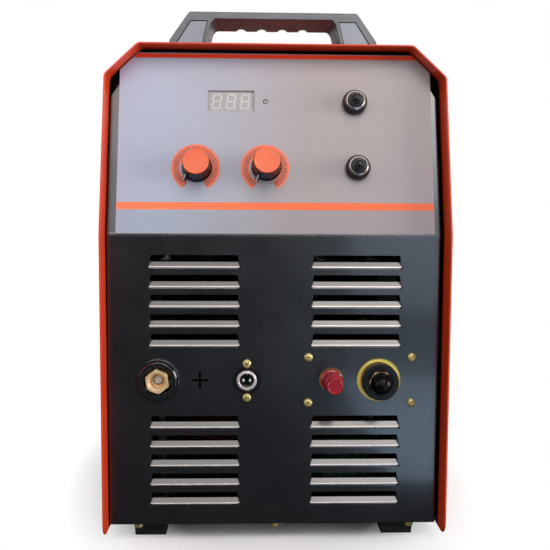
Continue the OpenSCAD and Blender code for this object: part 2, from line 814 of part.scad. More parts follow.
module current_knob() color([0.04, 0.04, 0.04]) case_frame() current_at() knob_body();
module current_cap() color([0.95, 0.35, 0.18]) case_frame() current_at() knob_cap();
module current_pointer() color([0.95, 0.95, 0.95]) case_frame() current_at() knob_pointer();
module current_shaft() color([0.78, 0.79, 0.8]) case_frame() current_at() knob_shaft();
module delay_knob() color([0.04, 0.04, 0.04]) case_frame() delay_at() knob_body();
module delay_cap() color([0.95, 0.35, 0.18]) case_frame() delay_at() knob_cap();
module delay_pointer() color([0.95, 0.95, 0.95]) case_frame() delay_at() knob_pointer();
module delay_shaft() color([0.78, 0.79, 0.8]) case_frame() delay_at() knob_shaft(delay_lift);

module potentiometers() color([0.6, 0.62, 0.64]) case_frame() {
    for (x = [-current_x, -delay_x])
        on_slope(x, knob_s) difference() {
            union() {
                translate([0, 0, -14]) cylinder(r = 8.5, h = 14 - sheet);
                translate([0, 0, -3]) cylinder(r = bush_r, h = 3 + plate_t + bush_h);
                translate([0, 0, plate_t]) cylinder(r = 7, h = 2.2, $fn = 6);
            }
            translate([0, 0, -9.4]) cylinder(r = shaft_r + run, h = 30);
        }
}

module toggle_bodies() color([0.1, 0.1, 0.11]) case_frame() {
    for (s = [gas_s, mode_s])
        on_toggle(s) {
            translate([-6.5, -10, -sheet - 22]) cube([13, 20, 22]);
            translate([0, 0, -sheet - 1]) cylinder(r = 6, h = sheet + plate_t + 2);
            for (y = [-6, 0, 6])
                translate([-1.2, y - 0.4, -sheet - 28]) cube([2.4, 0.8, 7]);
        }
}

module toggle_nuts() color([0.04, 0.04, 0.04]) case_frame() {
    for (s = [gas_s, mode_s])
        on_toggle(s) difference() {
            union() {
                translate([0, 0, plate_t]) cylinder(r = toggle_nut_r, h = 6);
                translate([0, 0, plate_t + 6]) cylinder(r1 = toggle_nut_r, r2 = 10, h = toggle_nut_h - plate_t - 6);
            }
            translate([0, 0, plate_t - 1]) cylinder(r = 6 + run, h = 3);
            translate([0, 0, plate_t + 0.9]) cylinder(r = boot_r + fit, h = 20);
            translate([0, 0, toggle_pivot]) rotate([0, 90, 0])
                cylinder(r = toggle_pin_r + run, h = toggle_pin_l + 2 * fit, center = true);
        }
}

module toggle_rings() color([0.8, 0.8, 0.82]) case_frame() {
    for (s = [gas_s, mode_s])
        on_toggle(s) difference() {
            translate([0, 0, toggle_nut_h]) cylinder(r1 = 9.5, r2 = 8.4, h = 1.8);
            translate([0, 0, toggle_nut_h - 1]) cylinder(r = boot_r + fit, h = 5);
        }
}

module boot_lever() {
    translate([0, 0, toggle_pivot]) rotate([lever_tilt, 0, 0]) difference() {
        union() {
            sphere(r = boot_r);
            cylinder(r1 = 5.4, r2 = 4.4, h = 8.6);
            translate([0, 0, 4.2]) cylinder(r = fold_r, h = 1);
            translate([0, 0, 8.6]) sphere(r = 4.4);
            rotate([0, 90, 0]) cylinder(r = toggle_pin_r, h = toggle_pin_l, center = true);
        }
        translate([-10, -10, -20]) cube([20, 20, 20 - boot_r * 0.8]);
    }
}

module gas_lever() color([0.05, 0.05, 0.05]) case_frame() on_toggle(gas_s) boot_lever();
module mode_lever() color([0.05, 0.05, 0.05]) case_frame() on_toggle(mode_s) boot_lever();

// ---------- connector row ----------

module work_flange() color([0.04, 0.04, 0.045]) case_frame() {
    on_front(-work_x, row_z) difference() {
        union() {
            cylinder(r = work_flange_r, h = 2.6);
            translate([0, 0, 2.6]) cylinder(r1 = work_flange_r, r2 = work_flange_r - 1, h = 1);
            cylinder(r = work_flange_r - 2.6, h = 6);
            translate([0, 0, -14]) cylinder(r = work_hole_r, h = 14);
        }
        cylinder(r = hex_r + 1.6, h = 20);
        translate([0, 0, -15]) cylinder(r = 9 + run, h = 30);
    }
}

module work_socket() color([0.82, 0.66, 0.36]) case_frame() {
    on_front(-work_x, row_z) difference() {
        union() {
            rotate([0, 0, hex_turn]) cylinder(r = hex_r, h = hex_front - 0.6, $fn = 6);
            rotate([0, 0, hex_turn]) translate([0, 0, hex_front - 0.6]) cylinder(r = hex_r - 0.6, h = 0.6, $fn = 6);
            translate([0, 0, -40]) cylinder(r = 9, h = 40 + eps);
        }
        translate([0, 0, -4]) cylinder(r = work_bore_r, h = 30);
        translate([0, 0, hex_front - 3]) cylinder(r1 = work_bore_r, r2 = work_bore_r + 2, h = 3 + eps);
        translate([0, 0, -10]) cylinder(r = 4.2, h = 10);
        translate([0, 0, -8]) cylinder(r = 5.1, h = 5);
    }
}

module work_contact() color([0.85, 0.85, 0.86]) case_frame() {
    on_front(-work_x, row_z) {
        translate([0, 0, -10]) cylinder(r = 4.15, h = 4.9);
        translate([0, 0, -5.1]) cylinder(r1 = 4.15, r2 = 3.6, h = 0.5);
    }
}

// nuts on the studs behind the front panel
module stud_nuts() color([0.82, 0.66, 0.36]) case_frame() {
    on_front(-work_x, row_z) {
        nut(15, 9 + run, -20, -14);
        nut(13.5, 9 + run, -32, -25);
    }
    on_front(torch_x, row_z) {
        nut(14, 9 + run, -23, -17);
        nut(13.5, 9 + run, -36, -29);
    }
    on_front(pilot_x, row_z) {
        nut(6.5, stud_r + run, -sheet - board_t - 5, -sheet - board_t);
        nut(6.5, stud_r + run, -22, -17);
    }
}

module control_shell() color([0.82, 0.83, 0.84]) case_frame() {
    on_front(-control_x, row_z) difference() {
        union() {
            difference() {
                union() {
                    cylinder(r = control_flange_r, h = 1.8);
                    for (s = [-1, 1])
                        translate([0, s * control_pitch / 2, 0]) cylinder(r = 5, h = 1.8);
                    translate([-4.2, -control_pitch / 2, 0]) cube([8.4, control_pitch, 1.8]);
                }
                for (s = [-1, 1])
                    translate([0, s * control_pitch / 2, -1]) cylinder(r = m4_hole_r, h = 4);
            }
            translate([0, 0, -13]) cylinder(r = 8, h = 13 + eps);
            cylinder(r = control_r, h = 3.6);
            translate([0, 0, 3.6]) cylinder(r1 = control_r, r2 = control_r - 0.7, h = 0.7);
        }
        difference() {
            translate([0, 0, -14]) cylinder(r = 6.7, h = 30);
            translate([-0.8, 5.6, -4]) cube([1.6, 2, 7.6]);
        }
    }
}

module control_insert() color([0.05, 0.05, 0.05]) case_frame() {
    on_front(-control_x, row_z) difference() {
        translate([0, 0, -13]) cylinder(r = 6.65, h = 8.8);
        for (x = [-3.1, 3.1])
            translate([x, 0, -14]) cylinder(r = 0.92, h = 12);
    }
}

module control_pins() color([0.9, 0.9, 0.9]) case_frame() {
    on_front(-control_x, row_z) for (x = [-3.1, 3.1]) {
        translate([x, 0, -17]) cylinder(r = 0.9, h = 20);
        translate([x, 0, 3]) cylinder(r1 = 0.9, r2 = 0.5, h = 0.5);
    }
}

// screws of the control connector and the terminal board
module front_screws() color([0.8, 0.66, 0.34]) case_frame() {
    on_front(-control_x, row_z) for (s = [-1, 1])
        translate([0, s * control_pitch / 2, 1.8]) pan_screw(m4_r, m4_head_r, m4_head_h, 8);
    for (sx = [-1, 1])
        for (sz = [-1, 1])
            on_front(board_x + sx * board_px / 2, row_z + sz * board_pz / 2)
                pan_screw(m4_r, m4_head_r + 0.2, m4_head_h, board_t + sheet + 4);
}

module terminal_board() color([0.8, 0.63, 0.2]) case_frame() {
    difference() {
        box(board_x - board_w / 2, board_x + board_w / 2, board_y, board_y + board_t,
            row_z - board_h / 2, row_z + board_h / 2);
        for (sx = [-1, 1])
            for (sz = [-1, 1])
                on_front(board_x + sx * board_px / 2, row_z + sz * board_pz / 2)
                    translate([0, 0, -board_t - sheet - 1]) cylinder(r = m4_hole_r, h = board_t + 2);
        on_front(pilot_x, row_z) translate([0, 0, -board_t - sheet - 1]) cylinder(r = 5.2, h = board_t + 2);
        on_front(torch_x, row_z) translate([0, 0, -board_t - sheet - 1]) cylinder(r = torch_r - 2, h = board_t + 2);
    }
}

module pilot_collar() color([0.72, 0.08, 0.12]) case_frame() {
    on_front(pilot_x, row_z) difference() {
        union() {
            translate([0, 0, -sheet]) cylinder(r = pilot_r, h = sheet + collar_h - 1.5);
            translate([0, 0, collar_h - 1.5]) cylinder(r1 = pilot_r, r2 = pilot_r - 1.5, h = 1.5);
            translate([0, 0, -sheet - board_t + 0.2]) cylinder(r = 5, h = board_t);
        }
        translate([0, 0, -20]) cylinder(r = stud_r + 0.02, h = 40);
    }
}

module pilot_stud() color([0.82, 0.66, 0.36]) case_frame() {
    on_front(pilot_x, row_z) {
        translate([0, 0, -26]) cylinder(r = stud_r, h = 26 + pilot_reach - 5);
    }
}

module pilot_washer() color([0.85, 0.75, 0.5]) case_frame() {
    on_front(pilot_x, row_z) tube(6.6, stud_r + run, collar_h, collar_h + washer_t);
}

module pilot_nut() color([0.75, 0.08, 0.13]) case_frame() {
    base = collar_h + washer_t;
    on_front(pilot_x, row_z) difference() {
        union() {
            translate([0, 0, base]) cylinder(r = nut_r, h = 13);
            for (a = [0 : 30 : 330])
                rotate([0, 0, a]) translate([nut_r - 0.3, 0, base]) cylinder(r = 0.9, h = 12);
            translate([0, 0, base + 13]) cylinder(r1 = nut_r, r2 = nut_tip_r + 0.1, h = 1.5);
            cylinder_between(nut_tip_r, base + 14, pilot_reach - 0.8);
            translate([0, 0, pilot_reach - 0.8]) cylinder(r1 = nut_tip_r, r2 = nut_tip_r - 0.8, h = 0.8);
        }
        translate([0, 0, base - 1]) cylinder(r = stud_r + run, h = pilot_reach - 4.5 - base + 1);
    }
}

module cylinder_between(r, z0, z1) {
    translate([0, 0, z0]) cylinder(r = r, h = z1 - z0);
}

module torch_insulator() color([0.03, 0.03, 0.035]) case_frame() {
    on_front(torch_x, row_z) difference() {
        union() {
            translate([0, 0, -sheet]) cylinder(r = torch_r, h = sheet + torch_face - 1.2);
            translate([0, 0, torch_face - 1.2]) cylinder(r1 = torch_r, r2 = torch_r - 1.2, h = 1.2);
            translate([0, 0, -17]) cylinder(r = torch_r - 2 - run, h = 17);
        }
        translate([0, 0, -30]) cylinder(r = 9.02, h = 60);
        translate([0, 0, torch_face - 2]) cylinder(r = 12.2, h = 4);
    }
}

module torch_stud() color([0.82, 0.66, 0.36]) case_frame() {
    on_front(torch_x, row_z) difference() {
        union() {
            translate([0, 0, torch_face - 2]) cylinder(r = 11, h = 4, $fn = 6);
            translate([0, 0, -44]) cylinder(r = 9, h = 44 + torch_face - 2 + eps);
            translate([0, 0, torch_face]) cylinder(r = torch_stud_r, h = 11);
        }
        translate([0, 0, -50]) cylinder(r = 3, h = 100);
    }
}

module torch_cap() color([0.02, 0.02, 0.022]) case_frame() {
    r = torch_cap_r;
    on_front(torch_x, row_z) difference() {
        union() {
            translate([0, 0, torch_face + 2.4]) cylinder(r = r, h = 4.6);
            translate([0, 0, torch_face + 7]) sphere(r = r);
        }
        translate([0, 0, torch_face - 5]) cylinder(r = r + 2, h = 7.4);
        translate([0, 0, torch_face]) cylinder(r = torch_stud_r + run, h = 11.4);
    }
}

// ---------- rear ----------

module fan_frames() color([0.07, 0.07, 0.075]) case_frame() {
    depth = fan_d;
    for (x = [-fan_x, fan_x])
        translate([x, fan_y, fan_z]) rotate([-90, 0, 0]) difference() {
            union() {
                difference() {
                    translate([-fan_w / 2, -fan_w / 2, 0]) cube([fan_w, fan_w, depth]);
                    translate([0, 0, -1]) cylinder(r = fan_hole_r, h = depth + 2);
                    difference() {
                        translate([-fan_w, -fan_w, 5]) cube([2 * fan_w, 2 * fan_w, depth - 10]);
                        cylinder(r = fan_w / 2 - 1.2, h = depth);
                    }
                }
                cylinder(r = hub_r, h = 4);
                for (a = [45 : 90 : 315])
                    rotate([0, 0, a]) translate([hub_r - 2, -2.5, 0]) cube([fan_w / 2 - hub_r, 5, 4]);
            }
            for (sx = [-1, 1])
                for (sy = [-1, 1])
                    translate([sx * fan_pitch / 2, sy * fan_pitch / 2, -1]) cylinder(r = m4_hole_r, h = depth + 2);
            translate([0, 0, -1]) cylinder(r = 2 + run, h = 10);
        }
}

module rotor(x) {
    translate([x, fan_y, fan_z]) rotate([-90, 0, 0]) {
        translate([0, 0, 1]) cylinder(r = 2, h = 6);
        translate([0, 0, 5]) cylinder(r = hub_r, h = fan_d - 11);
        translate([0, 0, fan_d - 6 - eps]) cylinder(r1 = hub_r, r2 = hub_r - 2, h = 2);
        for (k = [0 : 6])
            rotate([0, 0, k * 360 / 7]) intersection() {
                tube(blade_r, hub_r - 0.5, 5.5, fan_d - 6.5);
                translate([fan_w / 4, 0, fan_d / 2 - 0.5]) rotate([34, 0, 0]) cube([fan_w / 2 + 8, 80, 2], center = true);
                translate([0, -20, 0]) cube([fan_w, 40, 60]);
            }
    }
}

module left_rotor() color([0.06, 0.06, 0.06]) case_frame() rotor(-fan_x);
module right_rotor() color([0.06, 0.06, 0.06]) case_frame() rotor(fan_x);

module ring_wire(radius, wire) {
    rotate_extrude() translate([radius, 0]) circle(r = wire);
}

module fan_guards() color([0.78, 0.79, 0.8]) case_frame() {
    wire = 1.1;
    for (x = [-fan_x, fan_x])
        on_rear(x, fan_z) translate([0, 0, 5]) {
            for (k = [1 : 5])
                ring_wire(k * (fan_w / 2 - 5) / 5, wire);
            for (a = [0, 90])
                rotate([0, 0, a]) translate([0, 0, -1.6]) rotate([0, 90, 0])
                    cylinder(r = wire, h = fan_w - 8, center = true);
            for (a = [45 : 90 : 315])
                rotate([0, 0, a]) {
                    translate([0, 0, -1.6]) rotate([0, 90, 0]) cylinder(r = wire, h = fan_pitch / sqrt(2) - 4);
                    translate([fan_pitch / sqrt(2), 0, -5]) tube(4.6, m4_r - 0.1, 0, 4.5);
                    translate([fan_pitch / sqrt(2), 0, -0.5 - eps]) pan_screw(m4_r, m4_head_r, m4_head_h, 20);
                }
        }
}

module breaker() color([0.86, 0.86, 0.84]) case_frame() {
    on_rear(-breaker_x, breaker_z) difference() {
        union() {
            translate([-breaker_w / 2, -breaker_h / 2, -sheet - 60]) cube([breaker_w, breaker_h, 60]);
            translate([-breaker_w / 2, -breaker_neck / 2, -sheet - 1]) cube([breaker_w, breaker_neck, sheet + 1 + breaker_front]);
        }
        translate([-breaker_w / 2 + 3, -9, breaker_front - 12]) cube([breaker_w - 6, 18, 20]);
        for (x = [-18, 0, 18])
            for (y = [-1, 1])
                translate([x, y * 33, -sheet - 50]) cylinder(r = 4, h = 60);
    }
}

module breaker_lever() color([0.06, 0.06, 0.06]) case_frame() {
    on_rear(-breaker_x, breaker_z) translate([0, 0, breaker_front - 5]) rotate([-28, 0, 0]) {
        rotate([0, 90, 0]) cylinder(r = 5, h = breaker_w - 7, center = true);
        translate([-breaker_w / 2 + 5, -2, 0]) cube([breaker_w - 10, 4, 15]);
    }
}

module cable_gland() color([0.06, 0.06, 0.065]) case_frame() {
    on_rear(-fittings_x, fittings_z) difference() {
        union() {
            translate([0, 0, -sheet - 12]) cylinder(r = 10, h = 12 + sheet + eps);
            cylinder(r = 14.5, h = 6, $fn = 6);
            translate([0, 0, 6 - eps]) cylinder(r = 11.5, h = 4 + 2 * eps);
            translate([0, 0, 10]) cylinder(r = 13.5, h = 10, $fn = 6);
            translate([0, 0, 20 - eps]) cylinder(r1 = 11.6, r2 = 10, h = 5);
            translate([0, 0, -sheet - 6]) cylinder(r = 14, h = 6, $fn = 6);
        }
        translate([0, 0, -20]) cylinder(r = gland_bore_r, h = 60);
    }
}

// earth stud with its nuts, and the gas inlet
module rear_fittings() color([0.8, 0.66, 0.36]) case_frame() {
    on_rear(0, fittings_z) {
        translate([0, 0, -12]) cylinder(r = 4, h = 34);
        translate([0, 0, 0]) cylinder(r = 8, h = 1.6);
        translate([0, 0, 1.6 - eps]) cylinder(r = 7.5, h = 6.5, $fn = 6);
        translate([0, 0, -sheet - 6.5]) cylinder(r = 7.5, h = 6.5, $fn = 6);
    }
    on_rear(fittings_x, fittings_z) difference() {
        union() {
            translate([0, 0, -sheet - 22]) cylinder(r = 8, h = 22 + sheet + eps);
            cylinder(r = 12, h = 7, $fn = 6);
            translate([0, 0, -sheet - 6]) cylinder(r = 12, h = 6, $fn = 6);
            cylinder_between(inlet_r, 7 - eps, inlet_reach);
        }
        translate([0, 0, -40]) cylinder(r = 3.2, h = 100);
    }
}

// ---------- inside ----------

module module_shelf() color([0.7, 0.71, 0.72]) case_frame() {
    difference() {
        box(-tray_w + 4, tray_w - 4, shelf_y0, shelf_y1, shelf_z, shelf_z + shelf_t);
        for (y = [shelf_y0 + 50 : 40 : shelf_y1 - 50])
            for (x = [-core_x + 1, core_x - 1])
                box(x - 50, x + 50, y, y + 14, shelf_z - 1, shelf_z + shelf_t + 1);
    }
    for (m = [0, 1])
        mirror([m, 0, 0]) for (y = [shelf_y0 + 4, shelf_y1 - 22])
            box(tray_w - 22, tray_w - 8, y, y + 18, floor_z, shelf_z);
}

module heatsinks() color([0.75, 0.76, 0.77]) case_frame() {
    for (m = [0, 1])
        mirror([m, 0, 0]) translate([sink_x, sink_y, shelf_z + shelf_t]) {
            translate([0, 0, fin_h - eps]) cube([sink_w, sink_l, sink_t]);
            for (k = [0 : 11])
                translate([k * (sink_w - fin_t) / 11, 0, 0]) cube([fin_t, sink_l, fin_h]);
        }
}

// circuit boards with their power switches standing on the heatsinks
module power_boards() color([0.06, 0.28, 0.14]) case_frame() {
    base = shelf_z + shelf_t + fin_h + sink_t;
    for (m = [0, 1])
        mirror([m, 0, 0]) {
            for (y = [sink_y + switch_row, sink_y + switch_row + sink_l / 2])
                for (x = [sink_x + switch_edge, sink_x + sink_w - switch_edge - switch_w - 2])
                    box(x, x + switch_w, y, y + switch_l, base, base + module_h + eps);
            box(power_x, power_x + power_w, sink_y - power_edge, sink_y + sink_l + power_edge,
                base + module_h, base + module_h + board_th);
        }
}

module capacitors() color([0.12, 0.14, 0.2]) case_frame() {
    base = shelf_z + shelf_t + fin_h + sink_t + module_h + board_th;
    for (m = [0, 1])
        mirror([m, 0, 0]) for (x = [power_x + capacitor_edge, sink_x + sink_w - capacitor_edge])
            for (k = [0 : 2])
                translate([x, sink_y + capacitor_row + k * capacitor_pitch, base]) {
                    cylinder(r = capacitor_r, h = capacitor_h);
                    translate([0, 0, capacitor_h - eps])
                        cylinder(r1 = capacitor_r, r2 = capacitor_r - 1.5, h = capacitor_bevel);
                }
}

module transformer_cores() color([0.16, 0.16, 0.17]) case_frame() {
    leg = core_leg;
    for (x = [-core_x, core_x])
        translate([x - core_w / 2, core_y, floor_z]) {
            difference() {
                cube([core_w, core_l, core_h]);
                translate([leg, -1, leg]) cube([core_w - 2 * leg, core_l + 2, core_h - 2 * leg]);
            }
            translate([core_w / 2 - leg, 0, leg - eps]) cube([2 * leg, core_l, core_h - 2 * leg + 2 * eps]);
        }
}

module transformer_coils() color([0.75, 0.38, 0.14]) case_frame() {
    leg = core_leg;
    gap = coil_gap;
    for (x = [-core_x, core_x])
        translate([x, core_y + core_l / 2, floor_z + leg + gap]) difference() {
            translate([-core_w / 2 + leg + gap, -core_l / 2 - coil_over, 0])
                cube([core_w - 2 * leg - 2 * gap, core_l + 2 * coil_over, core_h - 2 * leg - 2 * gap]);
            translate([-leg - gap / 2, -core_l / 2 - gap / 2, -gap]) cube([2 * leg + gap, core_l + gap, core_h]);
        }
}

module output_chokes() color([0.7, 0.36, 0.14]) case_frame() {
    for (x = [-core_x, core_x])
        translate([x, choke_y, floor_z]) difference() {
            union() {
                cylinder(r = choke_r, h = choke_h);
                translate([0, 0, choke_h - eps])
                    cylinder(r1 = choke_r, r2 = choke_r - choke_bevel, h = choke_bevel);
            }
            translate([0, 0, -1]) cylinder(r = choke_bore, h = choke_h + choke_bevel + 12);
        }
}

// control board behind the leaning panel and ignition board on the tray
module control_boards() color([0.05, 0.3, 0.14]) case_frame() {
    on_slope(0, 0) {
        translate([-control_left, control_s, -control_depth]) {
            cube([control_w, control_h, board_th]);
            for (x = [control_post, control_w - control_post])
                for (s = [control_post, control_h - control_post])
                    translate([x, s, board_th - eps])
                        cylinder(r = post_r, h = control_depth - board_th - sheet + eps);
        }
    }
    translate([ignition_x, ignition_y, floor_z]) {
        translate([0, 0, ignition_rise]) cube([ignition_w, ignition_l, board_th]);
        for (x = [ignition_post, ignition_w - ignition_post])
            for (y = [ignition_post, ignition_l - ignition_post])
                translate([x, y, 0]) cylinder(r = post_r, h = ignition_rise + eps);
        translate([(ignition_w - coil_box[0]) / 2, (ignition_l - coil_box[1]) / 2, ignition_rise + board_th - eps])
            cube(coil_box);
    }
}

module gas_valve() color([0.3, 0.31, 0.33]) case_frame() {
    half = valve_w / 2;
    translate([fittings_x, rear_y - sheet - valve_back, fittings_z]) {
        box(-half, half, -valve_l, 0, -half, half);
        translate([0, -valve_l / 2, half - eps]) cylinder(r = valve_coil_r, h = valve_coil_h);
        box(-half + 7, half - 7, 6 - valve_l, -6, floor_z - fittings_z, eps - half);
    }
}

base_tray();
feet();
case_screws();
front_panel();
rear_panel();
cover();
panel_screws();
handles();
face_plate();
display_bezel();
display_segments();
display_board();
pilot_lamp();
current_knob();
current_cap();
current_pointer();
current_shaft();
delay_knob();
delay_cap();
delay_pointer();
delay_shaft();
potentiometers();
toggle_bodies();
toggle_nuts();
toggle_rings();
gas_lever();
mode_lever();
work_flange();
work_socket();
work_contact();
stud_nuts();
control_shell();
control_insert();
control_pins();
front_screws();
terminal_board();
pilot_collar();
pilot_stud();
pilot_washer();
pilot_nut();
torch_insulator();
torch_stud();
torch_cap();
fan_frames();
fan_guards();
left_rotor();
right_rotor();
breaker();
breaker_lever();
cable_gland();
rear_fittings();
module_shelf();
heatsinks();
power_boards();
capacitors();
transformer_cores();
transformer_coils();
output_chokes();
control_boards();
gas_valve();
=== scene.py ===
"""Dresses the plasma cutting unit with its outer pieces, finishes, lamps and camera."""

import logging
import math
from contextlib import contextmanager
from dataclasses import dataclass
from enum import Enum
from typing import Callable, Iterator, Sequence

import bmesh
import bpy
from mathutils import Matrix, Vector


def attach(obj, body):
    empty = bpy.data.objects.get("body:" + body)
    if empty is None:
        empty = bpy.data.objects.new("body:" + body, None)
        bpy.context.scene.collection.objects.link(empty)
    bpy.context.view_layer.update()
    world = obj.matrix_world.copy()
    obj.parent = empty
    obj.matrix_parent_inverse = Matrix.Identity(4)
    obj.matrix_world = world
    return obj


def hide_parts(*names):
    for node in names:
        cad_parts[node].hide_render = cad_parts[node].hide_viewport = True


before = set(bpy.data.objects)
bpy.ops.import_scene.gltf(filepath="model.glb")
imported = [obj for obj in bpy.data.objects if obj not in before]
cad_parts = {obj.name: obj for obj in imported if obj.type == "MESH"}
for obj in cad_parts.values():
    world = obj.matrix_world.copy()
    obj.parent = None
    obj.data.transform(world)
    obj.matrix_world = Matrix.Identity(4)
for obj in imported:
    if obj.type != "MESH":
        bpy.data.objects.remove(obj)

LOG = logging.getLogger("plasma_cutter")
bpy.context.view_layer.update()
MM = 0.001
NOISE_ROUGHNESS = 0.55

# The case: where its front panel stands and bends, and its sheet, in millimetres.
PANEL_Y = -264.5
BEND_Z = 294.5
LEAN = math.radians(13.0)
REAR_Y = 525.0
HALF_WIDTH = 160.0
ROOF_Z = 472.5
CORNER_CUT = 30.5
PLATE = 0.8
SHEET = 1.5
FOOT_X = 120.5
FOOT_ROWS = (35.5, 489.5)
HANDLE_ROWS = (126.0, 337.0)

# The connector row on the upright panel.
ROW_Z = 157.0
WORK_X = -110.5
CONTROL_X = -27.0
PILOT_X = 53.2
TORCH_X = 98.2
LUG_PITCH = 32.4
LUG_PLATE = 1.8

# The controls on the leaning panel, as x and the way up the slope.
KNOB_S = 63.0
CURRENT_X = -74.0
DELAY_X = -9.0
GAS_PLACE = (75.0, 127.5)
MODE_PLACE = (77.0, 63.5)
WINDOW_PLACE = (-42.5, 128.6)
LAMP_PLACE = (-10.0, 128.6)

Point = tuple[float, float]
Triple = tuple[float, float, float]
Shade = tuple[float, float, float, float]
Test = Callable[[Vector, Vector], bool]
WHITE = (1.0, 1.0, 1.0, 1.0)


class Slot(Enum):
    """Finish slots of the part's record, passed along with the new pieces but not used by the code."""

    COVER = "cover_paint"
    PANEL = "panel_paint"
    ZINC = "zinc"
    YELLOW_ZINC = "yellow_zinc"
    NICKEL = "nickel"
    BRASS = "brass"
    RUBBER = "rubber"
    HANDLE = "handle_plastic"
    BLACK = "black_plastic"
    KNOB = "knob_plastic"
    CAP = "cap_plastic"
    RED = "red_plastic"
    FILM = "plate_film"


class Kind(Enum):
    """What a pick in edit mode acts on."""

    VERT = "VERT"
    EDGE = "EDGE"
    FACE = "FACE"


# ---------- seats: where a piece drawn about its own axis goes, in millimetres of the case ----------


def on_front(x: float, z: float) -> Matrix:
    """Seat on the upright panel: local Y up, local Z outward."""
    return Matrix.Translation((x, 0.0, z)) @ Matrix.Rotation(math.pi / 2, 4, "X")


def on_slope(x: float, s: float) -> Matrix:
    """Seat on the leaning panel: local Y up the slope, local Z outward."""
    turn = Matrix.Rotation(math.pi / 2 - LEAN, 4, "X")
    return Matrix.Translation((0.0, 0.0, BEND_Z)) @ turn @ Matrix.Translation((x, s, 0.0))


def on_rear(x: float, z: float) -> Matrix:
    """Seat on the rear panel: local Y down, local Z outward."""
    return Matrix.Translation((x, REAR_Y, z)) @ Matrix.Rotation(-math.pi / 2, 4, "X")


def on_case(x: float = 0.0, y: float = 0.0, z: float = 0.0) -> Matrix:
    """Seat in the case's own directions."""
    return Matrix.Translation((x, y, z))


def turned_about_z(degrees: float) -> Matrix:
    """A turn about local Z."""
    return Matrix.Rotation(math.radians(degrees), 4, "Z")


# ---------- the bench ----------


